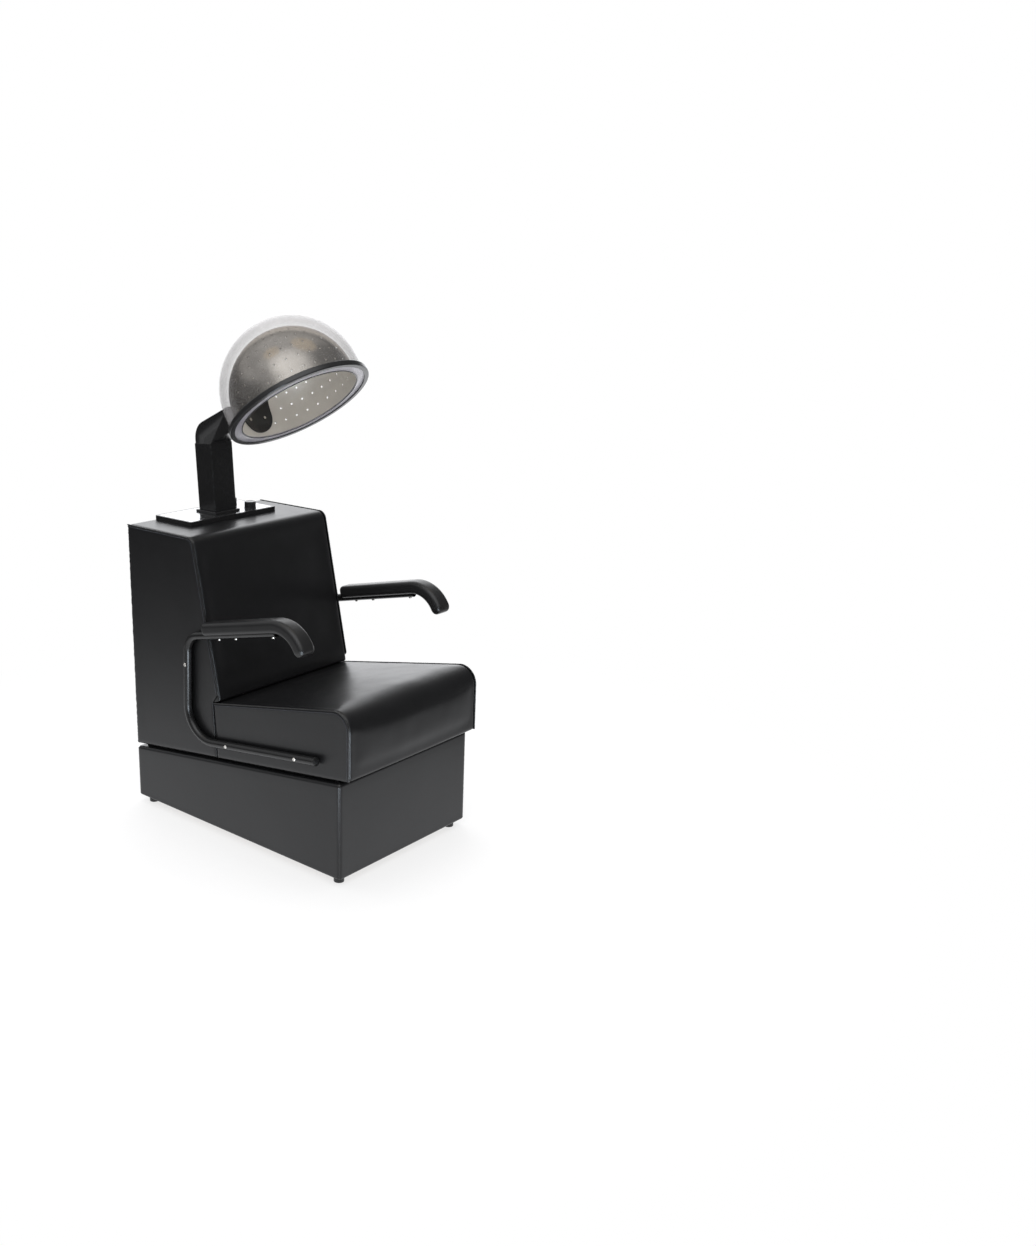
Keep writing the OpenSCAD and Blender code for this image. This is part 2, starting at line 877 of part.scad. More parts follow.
// Centre, start and end of the bend at b between a and c
function bend_of(a, b, c, r) =
    let(
        u = unit(a - b),
        v = unit(c - b),
        half = acos(u * v) / 2
    )
    [b + unit(u + v) * (r / sin(half)), b + u * (r / tan(half)), b + v * (r / tan(half))];

module leg(p, q, d, wall) {
    v = q - p;
    translate([0, p[0], p[1]])
        rotate([atan2(-v[0], v[1]), 0, 0])
            linear_extrude(norm(v)) tube_section(d, wall);
}

module tube_bend(bend, r, d, wall) {
    c = bend[0];
    u = bend[1] - c;
    v = bend[2] - c;
    turn = acos(unit(u) * unit(v));
    from = cross2(u, v) > 0 ? u : v;
    translate([0, c[0], c[1]])
        rotate([90, 0, 90])
            rotate([0, 0, atan2(from[1], from[0])])
                rotate_extrude(angle = turn, $fn = 96)
                    translate([r, 0]) tube_section(d, wall);
}

module arm_tube() {
    difference() {
        translate([arm_x, 0, 0])
            bent_tube(
                arm_start, arm_head, arm_foot, arm_end,
                arm_bend_top, arm_bend_low,
                tube_d, tube_wall);
        arm_screw_places() arm_screw_hole();
        translate([arm_x, 0, 0]) pad_screw_places() pad_screw_hole();
    }
}

module arm_tube_left() {
    color(black) arm_tube();
}

module arm_tube_right() {
    color(black) mirror([1, 0, 0]) arm_tube();
}

// Stations along the pad: [centre, upward direction, scale of the section]
pad_mid = pad_start + pad_up * (pad_t / 2);
pad_turn = pad_mid + pad_dir * pad_straight;
pad_centre = pad_turn - pad_up * pad_bend_r;
function on_bend(a) =
    let(up = [
        pad_up[0] * cos(a) - pad_up[1] * sin(a),
        pad_up[0] * sin(a) + pad_up[1] * cos(a)])
    [pad_centre + up * pad_bend_r, up];

pad_path = let(
        r = pad_t / 2,
        tip = on_bend(pad_bend),
        tip_dir = perp(tip[1])
    )
    concat(
        [for (a = [0, 30, 60]) [pad_mid + pad_dir * (6 * (1 - cos(a))), pad_up, 1 - 0.18 * pow(1 - sin(a), 1.5)]],
        [for (s = [0.15, 0.4, 0.7]) [pad_mid + pad_dir * (s * pad_straight), pad_up, 1]],
        [for (i = [0:8])
            let(b = on_bend(pad_bend * i / 8)) [b[0], b[1], 1]],
        [for (a = [25, 45, 62, 78]) [tip[0] + tip_dir * (r * sin(a)), tip[1], cos(a) * 0.85 + 0.15]]);

module arm_pad() {
    groove_play = 2 * seat_gap;
    translate([arm_x, 0, 0])
        difference() {
            swept_pad(pad_path, pad_w, pad_t);
            leg(pad_start - pad_dir * 20, arm_start + pad_dir * 2, tube_d + groove_play, 0);
            pad_screw_places() cylinder(d = pad_screw_d + groove_play, h = tube_d + 14.6, $fn = 16);
        }
}

module arm_pad_left() {
    color(vinyl) arm_pad();
}

module arm_pad_right() {
    color(vinyl) mirror([1, 0, 0]) arm_pad();
}

// Domed rubber plugs in the tubes' lower ends
module arm_plugs() {
    color(black)
        both()
            translate([arm_x, arm_end[0], arm_end[1]])
                rotate([90 - recline, 0, 0]) {
                    translate([0, 0, -14]) cylinder(d = tube_d - 2 * tube_wall, h = 15, $fn = 48);
                    intersection() {
                        translate([0, 0, tube_d * 0.35 - tube_d])
                            sphere(d = 2 * tube_d, $fn = 64);
                        cylinder(d = tube_d, h = tube_d, $fn = 48);
                    }
                }
}

// One screw in the upright and two in the lower run, all pointing inward
arm_screw_yz = [
    arm_foot + upright_dir * 238,
    arm_foot + run_dir * 181,
    arm_foot + run_dir * 464];

module arm_screw_places() {
    for (p = arm_screw_yz)
        translate([arm_x + tube_d / 2, p[0], p[1]]) rotate([0, -90, 0]) children();
}

module arm_screw_hole() {
    translate([0, 0, -tube_d]) cylinder(d = arm_screw_d, h = arm_screw_len + tube_d, $fn = 24);
}

module arm_screws() {
    color(steel)
        both()
            arm_screw_places() {
                translate([0, 0, -1.5]) cylinder(d1 = arm_screw_head * 0.7, d2 = arm_screw_head, h = 1.5, $fn = 32);
                cylinder(d = arm_screw_d, h = arm_screw_len, $fn = 24);
            }
}

// Screws up through the tube into the pad, from below
pad_screw_at = [42, 114, 268];

module pad_screw_places() {
    for (s = pad_screw_at)
        let(p = pad_start + pad_dir * s - pad_up * (tube_d / 2))
        translate([0, p[0], p[1]]) rotate([-pad_slope, 0, 0]) children();
}

module pad_screw_hole() {
    translate([0, 0, -5]) cylinder(d = pad_screw_d, h = tube_d + 10, $fn = 24);
}

module pad_screws() {
    color(steel)
        both()
            translate([arm_x, 0, 0])
                pad_screw_places() {
                    translate([0, 0, -3]) cylinder(d1 = pad_screw_head * 0.8, d2 = pad_screw_head, h = 3, $fn = 32);
                    cylinder(d = pad_screw_d, h = tube_d + 14, $fn = 24);
                }
}

// ---- tray and controls ----

tray_front = rear_y - tray_rear - tray_d;
tray_mid = tray_front + tray_d / 2;
tray_top = body_top + tray_t;
knob_ys = [tray_front + knob_front, tray_front + knob_front + knob_pitch];

module tray() {
    color(black)
        difference() {
            translate([0, tray_mid, body_top])
                linear_extrude(tray_t) round_plate(tray_w, tray_d, tray_corner_r);
            translate([0, tray_mid, tray_top - plate_t]) linear_extrude(tray_t) plate_plan();
            top_openings(body_top - 1, tray_top + 1);
        }
}

module plate_plan() {
    round_plate(
        tray_w - 2 * tray_edge,
        tray_d - 2 * tray_edge,
        max(2, tray_corner_r - tray_edge));
}

module face_plate() {
    color(steel)
        difference() {
            translate([0, tray_mid, tray_top - plate_t]) linear_extrude(plate_t) plate_plan();
            top_openings(tray_top - tray_t, tray_top + 1);
        }
}

control_h = 30;
control_w = 46;
shaft_low = board_top - control_h + 4;

// A fluted knob on its own shaft, which turns in the control below the top board
module knob(y) {
    color(black)
        translate([knob_x, y, 0]) {
            translate([0, 0, tray_top + knob_gap])
                difference() {
                    cylinder(d = knob_d, h = knob_h, $fn = 64);
                    translate([-0.75, -knob_d, knob_h - 1]) cube([1.5, knob_d, 2]);
                    for (a = [15:30:345])
                        rotate([0, 0, a])
                            translate([knob_d / 2 + 0.6, 0, 3]) cylinder(d = 3, h = knob_h, $fn = 24);
                }
            translate([0, 0, shaft_low + seat_gap])
                cylinder(d = shaft_d, h = tray_top + knob_gap + 1 - shaft_low, $fn = 32);
        }
}

module timer_knob() {
    knob(knob_ys[0]);
}

module heat_knob() {
    knob(knob_ys[1]);
}

module control(y, h) {
    color(sheet)
        translate([knob_x, y, 0])
            difference() {
                translate([-control_w / 2, -control_w / 2, board_top - h])
                    cube([control_w, control_w, h]);
                translate([0, 0, shaft_low]) cylinder(d = shaft_d + 2 * pin_play, h = big, $fn = 32);
            }
}

module timer() {
    control(knob_ys[0], control_h + 12);
}

module heat_switch() {
    control(knob_ys[1], control_h);
}

// ---- column, elbow and air sleeve ----

sleeve_w = column_w - 2 * column_wall - 0.6;
sleeve_d = column_d - 2 * column_wall - 0.6;
foot_z = tray_top;
lean_dir = [sin(column_lean), cos(column_lean)];
lean_front = [-cos(column_lean), sin(column_lean)];
column_head = [duct_y, foot_z] + lean_dir * column_len;

module on_column() {
    translate([0, duct_y, foot_z]) rotate([-column_lean, 0, 0]) children();
}

module upright_box(w, d, low, high) {
    translate([-w / 2, -d / 2, low]) cube([w, d, high - low]);
}

module column() {
    color(black)
        difference() {
            on_column()
                difference() {
                    upright_box(column_w, column_d, -40, column_len);
                    upright_box(
                        column_w - 2 * column_wall,
                        column_d - 2 * column_wall,
                        -50, column_len + 10);
                }
            translate([-big / 2, -big / 2, foot_z - big]) cube(big);
        }
}

module column_collar() {
    color(black)
        difference() {
            translate([-column_w / 2 - collar_w, duct_y - column_d / 2 - collar_w, foot_z])
                cube([column_w + 2 * collar_w, column_d + 2 * collar_w, collar_h]);
            on_column() upright_box(column_w, column_d, -40, 40);
        }
}

elbow_d = column_d - 2;
elbow_w = column_w - 2 * elbow_step;
leg_dir = [-cos(elbow_rise), sin(elbow_rise)];
leg_up = [sin(elbow_rise), cos(elbow_rise)];
elbow_in = column_head + lean_front * (elbow_d / 2) + lean_dir * 2;

// Side outline of the elbow, drawn in by w; low and ext lengthen its lower and forward ends
module elbow_outline(w, low, ext) {
    front = column_head + lean_front * (elbow_d / 2 - w);
    rear = column_head - lean_front * (elbow_d / 2 - w);
    under = elbow_in + leg_up * w;
    over = elbow_in + leg_up * (elbow_d - w);
    reach = leg_dir * (elbow_len + ext);
    inner_corner = cross_point(front, lean_dir, under, leg_dir);
    outer_corner = cross_point(rear, lean_dir, over, leg_dir);
    shift = lean_dir * low;
    polygon(rounded([
        [front[0] - shift[0], front[1] - shift[1], 0],
        [rear[0] - shift[0], rear[1] - shift[1], 0],
        [outer_corner[0], outer_corner[1], elbow_heel_r - w],
        [over[0] + reach[0], over[1] + reach[1], 0],
        [under[0] + reach[0], under[1] + reach[1], 0],
        [inner_corner[0], inner_corner[1], 3]]));
}

spigot_d = column_d - 2 * column_wall - 0.4;
shoulder_t = 4;

module elbow() {
    color(black)
        difference() {
            union() {
                side(-elbow_w / 2, elbow_w / 2) elbow_outline(0, 0, 0);
                on_column()
                    upright_box(elbow_w, spigot_d, column_len - spigot_len, column_len + 1);
            }
            side(-elbow_w / 2 + column_wall, elbow_w / 2 - column_wall)
                elbow_outline(column_wall, -shoulder_t, 5);
            on_column()
                upright_box(
                    elbow_w - 2 * column_wall,
                    spigot_d - 2 * column_wall,
                    column_len - spigot_len - 1, column_len + shoulder_t + 1);
            hinge_axis() cylinder(d = pin_d, h = big, center = true, $fn = 48);
        }
}

scroll_lift = 12;                         // clear height under the blower scroll
outlet_rise = 12;                         // height of the outlet above the scroll
heater_low = shelf_z + scroll_lift + 2 * scroll_r + outlet_rise;
heater_top = heater_low + heater_h;

// Carries the air from the heater up into the column
module duct_sleeve() {
    color(sheet)
        difference() {
            translate([0, duct_y, 0]) {
                upright_box(sleeve_w, sleeve_d, heater_top, tray_top);
                upright_box(outlet_w, outlet_d, heater_top, heater_top + sheet_t);
            }
            translate([0, duct_y, 0])
                upright_box(
                    sleeve_w - 2 * sheet_t,
                    sleeve_d - 2 * sheet_t,
                    heater_top - 1, tray_top + 1);
        }
}

// ---- dryer unit ----

scroll_z = shelf_z + scroll_lift + scroll_r;
scroll_y = duct_y + outlet_d / 2 - scroll_r;
inlet_d = 92;

module on_scroll() {
    translate([0, scroll_y, scroll_z]) rotate([0, 90, 0]) children();
}

module blower_housing() {
    color(sheet)
        difference() {
            union() {
                on_scroll() cylinder(r = scroll_r, h = scroll_w, center = true, $fn = 96);
                translate([0, duct_y, 0]) upright_box(scroll_w, outlet_d, scroll_z, heater_low);
            }
            on_scroll()
                cylinder(r = scroll_r - sheet_t, h = scroll_w - 2 * sheet_t, center = true, $fn = 96);
            translate([0, duct_y, 0])
                upright_box(
                    scroll_w - 2 * sheet_t,
                    outlet_d - 2 * sheet_t,
                    scroll_z, heater_low + 1);
            on_scroll()
                translate([0, 0, -scroll_w]) cylinder(d = inlet_d, h = scroll_w, $fn = 96);
            on_scroll() cylinder(d = motor_shaft_d + 8, h = scroll_w, $fn = 48);
        }
}

// A squirrel-cage wheel: back disc, hub, blades and front ring
module blower_wheel() {
    half = wheel_w / 2;
    color(sheet)
        on_scroll()
            difference() {
                union() {
                    translate([0, 0, half - 2]) cylinder(r = wheel_r, h = 2, $fn = 96);
                    translate([0, 0, half - 22]) cylinder(d = 24, h = 22, $fn = 48);
                    translate([0, 0, -half])
                        difference() {
                            cylinder(r = wheel_r, h = 2, $fn = 96);
                            translate([0, 0, -1]) cylinder(r = wheel_r - 14, h = 4, $fn = 96);
                        }
                    for (i = [0:blades - 1])
                        rotate([0, 0, 360 * i / blades])
                            translate([wheel_r - 12, 0, -half + 1])
                                rotate([0, 0, 35])
                                    cube([11, 1.2, wheel_w - 2]);
                }
                cylinder(d = motor_shaft_d, h = big, center = true, $fn = 48);
            }
}

motor_x = scroll_w / 2;
shaft_in = 30;

module motor_shaft() {
    start = wheel_w / 2 - 22;
    color(steel)
        on_scroll()
            translate([0, 0, start])
                cylinder(d = motor_shaft_d, h = motor_x + shaft_in - start, $fn = 48);
}

module motor() {
    color(steel)
        on_scroll()
            difference() {
                union() {
                    translate([0, 0, motor_x]) cylinder(d = motor_d, h = motor_len, $fn = 96);
                    translate([0, 0, motor_x + motor_len]) cylinder(d = motor_d * 0.6, h = 10, $fn = 64);
                }
                translate([0, 0, motor_x - 1])
                    cylinder(d = motor_shaft_d + 2 * shaft_play, h = shaft_in + 1 + seat_gap, $fn = 48);
            }
}

// A cradle block from the shelf, hollowed for what it carries
module cradle(x0, x1, half_y, r) {
    difference() {
        translate([x0, scroll_y - half_y, shelf_z]) cube([x1 - x0, 2 * half_y, scroll_z - shelf_z - r * 0.72]);
        on_scroll() cylinder(r = r + seat_gap, h = big, center = true, $fn = 96);
    }
}

module motor_bracket() {
    color(sheet) cradle(motor_x + 14, motor_x + motor_len - 14, 28, motor_d / 2);
}

module blower_stand() {
    color(sheet) {
        cradle(-scroll_w / 2 + 4, -scroll_w / 2 + 20, 46, scroll_r);
        cradle(scroll_w / 2 - 20, scroll_w / 2 - 4, 46, scroll_r);
    }
}

module heater_housing() {
    color(sheet)
        translate([0, duct_y, 0])
            difference() {
                upright_box(scroll_w, outlet_d, heater_low, heater_top);
                upright_box(
                    scroll_w - 2 * sheet_t,
                    outlet_d - 2 * sheet_t,
                    heater_low - 1, heater_top + 1);
            }
}

card_t = 1.5;
card_y = 17;
rod_d = 3;

// Four columns and three rows of rods, spread evenly over the heater
module rod_places() {
    for (i = [-1.5:1.5], k = [1:3])
        translate([i * scroll_w / 5, duct_y, heater_low + k * heater_h / 4]) rotate([90, 0, 0]) children();
}

// Two upright mica cards that hold the heating rods
module heater_cards() {
    color([0.85, 0.8, 0.65])
        difference() {
            for (s = [-1, 1])
                translate([0, duct_y + s * card_y, 0])
                    upright_box(scroll_w - 2 * sheet_t, card_t, heater_low + 6, heater_top - 8);
            rod_places() cylinder(d = rod_d, h = 4 * card_y, center = true, $fn = 24);
        }
}

module heater_rods() {
    color(steel) rod_places() cylinder(d = rod_d, h = 2 * card_y + 12, center = true, $fn = 24);
}

// ---- hood ----

elbow_end = elbow_in + leg_up * (elbow_d / 2) + leg_dir * elbow_len;
hinge = elbow_end - leg_dir * hinge_back;
neck_len = outer_r + neck_reach;         // from the outer dome's centre to the hinge
hinge_local = [neck_len * cos(neck_elev), outer_skirt + neck_len * sin(neck_elev)];
hood_y = hinge[0] - hinge_local[0] * cos(hood_tilt) - hinge_local[1] * sin(hood_tilt);
hood_z = hinge[1] + hinge_local[0] * sin(hood_tilt) - hinge_local[1] * cos(hood_tilt);

module hinge_axis() {
    translate([0, hinge[0], hinge[1]]) rotate([0, 90, 0]) children();
}

// The hood's own space: origin in the middle of the rim, Z along the dome's axis
module in_hood() {
    translate([0, hood_y, hood_z]) rotate([-hood_tilt, 0, 0]) children();
}

// Z runs from the outer dome's centre out through the neck to the hinge
module on_neck() {
    translate([0, 0, outer_skirt]) rotate([neck_elev - 90, 0, 0]) children();
}

// A solid dome: a straight skirt under a half ball
module dome_fill(r, skirt, low) {
    translate([0, 0, -low]) cylinder(r = r, h = skirt + low, $fn = 128);
    translate([0, 0, skirt])
        rotate_extrude($fn = 128)
            intersection() {
                circle(r = r, $fn = 128);
                square(r + 1);
            }
}

module dome_shell(r, skirt, t) {
    difference() {
        dome_fill(r, skirt, 0);
        dome_fill(r - t, skirt, 1);
    }
}

neck_r = 26;
bore_play = 0.5;
throat_window = 22;       // width of the neck's side windows between the domes
dome_play = 0.2;          // clearance between a dome and what clamps it
clamp_screw_d = 4;
clamp_circle = 40;

module clamp_places() {
    for (a = [45:90:315])
        rotate([0, 0, a]) translate([clamp_circle, 0, 0]) children();
}

// What passes through both domes: the neck and the clamping screws
module neck_holes() {
    on_neck() {
        cylinder(r = neck_r + bore_play, h = big, $fn = 96);
        clamp_places() cylinder(d = clamp_screw_d + 0.4, h = big, $fn = 24);
    }
}

module outer_dome() {
    color([0.85, 0.87, 0.9, 0.35])
        in_hood()
            difference() {
                dome_shell(outer_r, outer_skirt, dome_t);
                neck_holes();
            }
}

row_count = hole_rows - 1;
hole_turn = 0.3;          // part of a step from the side to the first column of holes
function row_arc(i) = hole_first + i * hole_row_pitch;
function row_angle(i) = max(0, row_arc(i) - inner_skirt) / inner_r * 180 / PI;
neck_axis = [0, cos(neck_elev), sin(neck_elev)];

module air_holes() {
    for (i = [0:row_count])
        let(
            up = row_angle(i),
            z = min(row_arc(i), inner_skirt)
        )
        for (k = [0:hole_count - 1])
            let(
                a = 360 * (k + hole_turn) / hole_count,
                out = [cos(a) * cos(up), sin(a) * cos(up), sin(up)],
                p = [0, 0, z] + out * inner_r,
                off = norm(cross(p - [0, 0, outer_skirt], neck_axis))
            )
            if (p[1] < 0 || off > bezel_h / 2 + hole_d)
                translate([0, 0, z])
                    rotate([0, 90 - up, a])
                        translate([0, 0, inner_r - 2 * dome_t])
                            cylinder(d = hole_d, h = 3 * dome_t, $fn = 16);
}

module inner_dome() {
    color([0.5, 0.48, 0.46])
        in_hood()
            difference() {
                dome_shell(inner_r, inner_skirt, dome_t);
                neck_holes();
                air_holes();
            }
}

module ring(outer, inner, low, high) {
    translate([0, 0, low])
        difference() {
            cylinder(r = outer, h = high - low, $fn = 128);
            translate([0, 0, -1]) cylinder(r = inner, h = high - low + 2, $fn = 128);
        }
}

// The clear flange that closes the space between the two domes
module rim_flange() {
    color([0.8, 0.8, 0.82])
        in_hood() ring(outer_r, opening_r, -flange_t, 0);
}

// The black rim grips the outer dome's edge and the flange
module rim_ring() {
    low = -flange_t - 3;
    color(black)
        in_hood()
            rotate_extrude($fn = 128)
                polygon(rounded([
                    [outer_r + dome_play, -flange_t, 0],
                    [outer_r - 5, -flange_t, 0],
                    [outer_r - 5, low, 1],
                    [rim_r, low, 3],
                    [rim_r, low + rim_h, 3],
                    [outer_r + dome_play, low + rim_h, 0]]));
}

// Barrel, throat and outer clamping plate in one, with a clear air way
module hood_neck() {
    color(black)
        in_hood()
            difference() {
                union() {
                    on_neck() {
                        translate([0, 0, neck_len])
                            rotate([0, 90, 0]) cylinder(r = barrel_r, h = barrel_w, center = true, $fn = 96);
                        translate([0, 0, inner_r - 20]) cylinder(r = neck_r, h = neck_len - inner_r + 20, $fn = 96);
                    }
                    intersection() {
                        on_neck() cylinder(r = clamp_circle + 8, h = big, $fn = 96);
                        difference() {
                            dome_fill(outer_r + bezel_t, outer_skirt, 1);
                            dome_fill(outer_r + dome_play, outer_skirt, 2);
                        }
                    }
                }
                dome_fill(inner_r - dome_t, inner_skirt, 2);
                on_neck() {
                    cylinder(d = neck_bore, h = big, $fn = 96);
                    translate([0, 0, neck_len])
                        rotate([0, 90, 0])
                            for (s = [-1, 1])
                                translate([0, 0, s * (barrel_w / 2 - pin_in / 2)])
                                    cylinder(d = pin_d + 2 * pin_play, h = pin_in + 2, center = true, $fn = 48);
                    clamp_places()
                        translate([0, 0, inner_r]) cylinder(d = clamp_screw_d, h = clamp_top - inner_r, $fn = 24);
                    for (a = [0, 90])
                        rotate([0, 0, a])
                            translate([0, 0, (inner_r + outer_r) / 2 - dome_t])
                                cube([big / 10, throat_window, throat_window - 8], center = true);
                }
            }
}

clamp_top = outer_r + 1;

// An oval plate inside the hood that clamps the inner dome to the neck
module neck_bezel() {
    round_r = bezel_w / 2;
    stretch = bezel_h / 2 - round_r;
    color(black)
        in_hood()
            difference() {
                intersection() {
                    on_neck()
                        linear_extrude(big) {
                            square([bezel_w, 2 * stretch], center = true);
                            for (s = [-1, 1])
                                translate([0, s * stretch]) circle(round_r, $fn = 96);
                        }
                    difference() {
                        dome_fill(inner_r - dome_t - dome_play, inner_skirt, -2);
                        dome_fill(inner_r - dome_t - bezel_t, inner_skirt, 2);
                    }
                }
                on_neck()
                    clamp_places() {
                        cylinder(d = 2.4 * clamp_screw_d, h = pocket_z, $fn = 32);
                        cylinder(d = clamp_screw_d + 0.4, h = big, $fn = 24);
                    }
            }
}

pocket_z = sqrt(pow(inner_r - dome_t - bezel_t / 2, 2) - pow(clamp_circle, 2)) - 2;

module bezel_screws() {
    color(steel)
        in_hood()
            on_neck()
                clamp_places() {
                    translate([0, 0, pocket_z - 3]) cylinder(d = 2.2 * clamp_screw_d, h = 3, $fn = 32);
                    translate([0, 0, pocket_z]) cylinder(d = clamp_screw_d, h = clamp_top - pocket_z, $fn = 24);
                }
}

// Two flush pins through the elbow's cheeks, each with a washer face beside the barrel
module hinge_pins() {
    cheek_in = elbow_w / 2 - column_wall;
    color(steel)
        hinge_axis()
            for (s = [0, 1])
                mirror([0, 0, s]) {
                    translate([0, 0, barrel_w / 2 - pin_in + seat_gap])
                        cylinder(d = pin_d, h = elbow_w / 2 - barrel_w / 2 + pin_in - seat_gap, $fn = 48);
                    translate([0, 0, barrel_w / 2 + seat_gap])
                        cylinder(d = pin_d + 10, h = cheek_in - barrel_w / 2 - seat_gap, $fn = 48);
                }
}

plinth_box();
plinth_bottom();
plinth_cover();
spacer_board();
feet();
foot_bolts();
side_board_left();
side_board_right();
floor_board();
front_board();
seat_board();
back_board();
top_board();
shelf_board();
rear_panel();
panel_screws();
cable_gland();
seat_cushion();
back_cushion();
seat_side_left();
seat_side_right();
back_side_left();
back_side_right();
top_cover();
arm_tube_left();
arm_tube_right();
arm_pad_left();
arm_pad_right();
arm_plugs();
arm_screws();
pad_screws();
tray();
face_plate();
timer_knob();
heat_knob();
timer();
heat_switch();
column();
column_collar();
elbow();
duct_sleeve();
blower_housing();
blower_wheel();
motor_shaft();
motor();
motor_bracket();
blower_stand();
heater_housing();
heater_cards();
heater_rods();
intake_screen();
hood_neck();
hinge_pins();
outer_dome();
inner_dome();
rim_ring();
rim_flange();
neck_bezel();
bezel_screws();
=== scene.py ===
import math

import bmesh
import bpy
import numpy as np
from mathutils import Matrix, Vector, noise


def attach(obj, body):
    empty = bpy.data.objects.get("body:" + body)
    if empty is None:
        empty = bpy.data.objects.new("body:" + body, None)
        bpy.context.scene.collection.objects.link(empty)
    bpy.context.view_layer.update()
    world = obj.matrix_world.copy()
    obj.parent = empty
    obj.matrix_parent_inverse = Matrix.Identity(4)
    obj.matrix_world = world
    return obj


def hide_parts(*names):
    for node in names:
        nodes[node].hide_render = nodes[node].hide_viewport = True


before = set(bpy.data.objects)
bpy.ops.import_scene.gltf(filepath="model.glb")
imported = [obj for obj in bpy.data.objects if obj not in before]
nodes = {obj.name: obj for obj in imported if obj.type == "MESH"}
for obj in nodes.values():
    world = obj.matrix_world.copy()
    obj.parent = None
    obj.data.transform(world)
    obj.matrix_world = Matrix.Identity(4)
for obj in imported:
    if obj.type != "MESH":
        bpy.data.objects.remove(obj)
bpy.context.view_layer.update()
scene = bpy.context.scene
print("frame loaded:", len(nodes), "nodes")


# wires and shades: a small notation for shader maths

class Wire:
    def __init__(self, shade, socket):
        self.shade, self.socket = shade, socket

    def maths(self, operation, left, right=None, clamp=False):
        values = {0: left} if right is None else {0: left, 1: right}
        return self.shade.node("Math", values, operation=operation, use_clamp=clamp)

    def __add__(self, other): return self.maths("ADD", self, other)
    def __radd__(self, other): return self.maths("ADD", other, self)
    def __sub__(self, other): return self.maths("SUBTRACT", self, other)
    def __rsub__(self, other): return self.maths("SUBTRACT", other, self)
    def __mul__(self, other): return self.maths("MULTIPLY", self, other)
    def __pow__(self, other): return self.maths("POWER", self, other)
    def clamped(self): return self.maths("ADD", self, 0.0, clamp=True)
    def sine(self): return self.maths("SINE", self)
    def size(self): return self.maths("ABSOLUTE", self)


class Shade:
    def __init__(self, name, owner=None):
        self.material = owner or bpy.data.materials.new(name)
        self.material.use_nodes = True
        self.tree = self.material.node_tree
        self.tree.nodes.clear()

    def node(self, kind, inputs=None, out=0, **settings):
        made = self.tree.nodes.new("ShaderNode" + kind)
        for key, value in settings.items():
            setattr(made, key, value)
        for key, value in (inputs or {}).items():
            if isinstance(value, Wire):
                self.tree.links.new(value.socket, made.inputs[key])
            else:
                made.inputs[key].default_value = value
        return Wire(self, made.outputs[out] if made.outputs else None)

    def place(self):
        return self.node("TexCoord", out="Object")

    def ray(self, kind):
        return self.node("LightPath", out="Is " + kind + " Ray")

    def split(self, vector):
        parts = self.node("SeparateXYZ", {0: vector})
        return [Wire(self, parts.socket.node.outputs[i]) for i in range(3)]

    def grain(self, scale, detail=2.0, rough=0.5, vector=None):
        return self.node("TexNoise", {
            "Vector": vector or self.place(), "Scale": scale, "Detail": detail, "Roughness": rough})

    def cells(self, scale, feature, vector):
        return self.node("TexVoronoi", {"Vector": vector, "Scale": scale}, feature=feature)

    def ease(self, value, low, high, start=0.0, end=1.0):
        inputs = {"Value": value, "From Min": low, "From Max": high, "To Min": start, "To Max": end}
        return self.node("MapRange", inputs, interpolation_type="SMOOTHSTEP")

    def blendColour(self, mask, first, second):
        return self.node("Mix", {0: mask, 6: first, 7: second}, out=2, data_type="RGBA")

    def mix(self, mask, first, second):
        return self.node("MixShader", {0: mask, 1: first, 2: second})

    def source(self, kind, colour, strength):
        return self.node(kind, {"Color": colour, "Strength": strength})

    def bump(self, height, strength, distance, under=None):
        inputs = {"Height": height, "Strength": strength, "Distance": distance}
        if under is not None:
            inputs["Normal"] = under
        return self.node("Bump", inputs)

    def finish(self, **inputs):
        surface = self.node("BsdfPrincipled", {
            key.replace("_", " "): value for key, value in inputs.items()})
        self.node("OutputMaterial", {"Surface": surface})
        return self.material


def grey(value, tint=(1, 1, 1)):
    return (value * tint[0], value * tint[1], value * tint[2], 1)


# materials

vinylLook = {"tone": 0.0055, "tint": (0.96, 0.97, 1.08), "rough": 0.33, "grainScale": 620, "grainDepth": 0.00016,
             "streakDepth": 0.0006}


def vinylMaterial(name, look):
    shade = Shade(name)
    place = shade.place()
    pebble = shade.cells(look["grainScale"], "SMOOTH_F1", place)
    fine = shade.grain(2600, 2.0, 0.6, place)
    cloud = shade.grain(9, 3.0, 0.55, place)
    streak = shade.grain(45, 4.0, 0.6, place)
    height = pebble * 0.7 + fine * 0.3
    colour = shade.blendColour(
        (cloud * 0.6 + streak * 0.4 + fine * 0.25).clamped(),
        grey(look["tone"] * 0.72, look["tint"]), grey(look["tone"] * 1.35, look["tint"]))
    return shade.finish(
        Base_Color=colour,
        Roughness=(look["rough"] - 0.07 + cloud * 0.08 + streak * 0.05 + pebble * 0.06).clamped(),
        Normal=shade.bump(height, 0.55, look["grainDepth"], shade.bump(streak, 0.25, look["streakDepth"])),
        Specular_IOR_Level=0.5)


def coatedMaterial(name, tone, rough, tint=(1, 1, 1.04), speckle=900, depth=0.00006):
    shade = Shade(name)
    place = shade.place()
    fine = shade.grain(speckle, 3.0, 0.6, place)
    cloud = shade.grain(14, 3.0, 0.5, place)
    colour = shade.blendColour(
        (fine * 0.5 + cloud * 0.5).clamped(), grey(tone * 0.7, tint), grey(tone * 1.4, tint))
    return shade.finish(
        Base_Color=colour, Roughness=(rough - 0.08 + fine * 0.1 + cloud * 0.08).clamped(),
        Normal=shade.bump(fine, 0.5, depth))


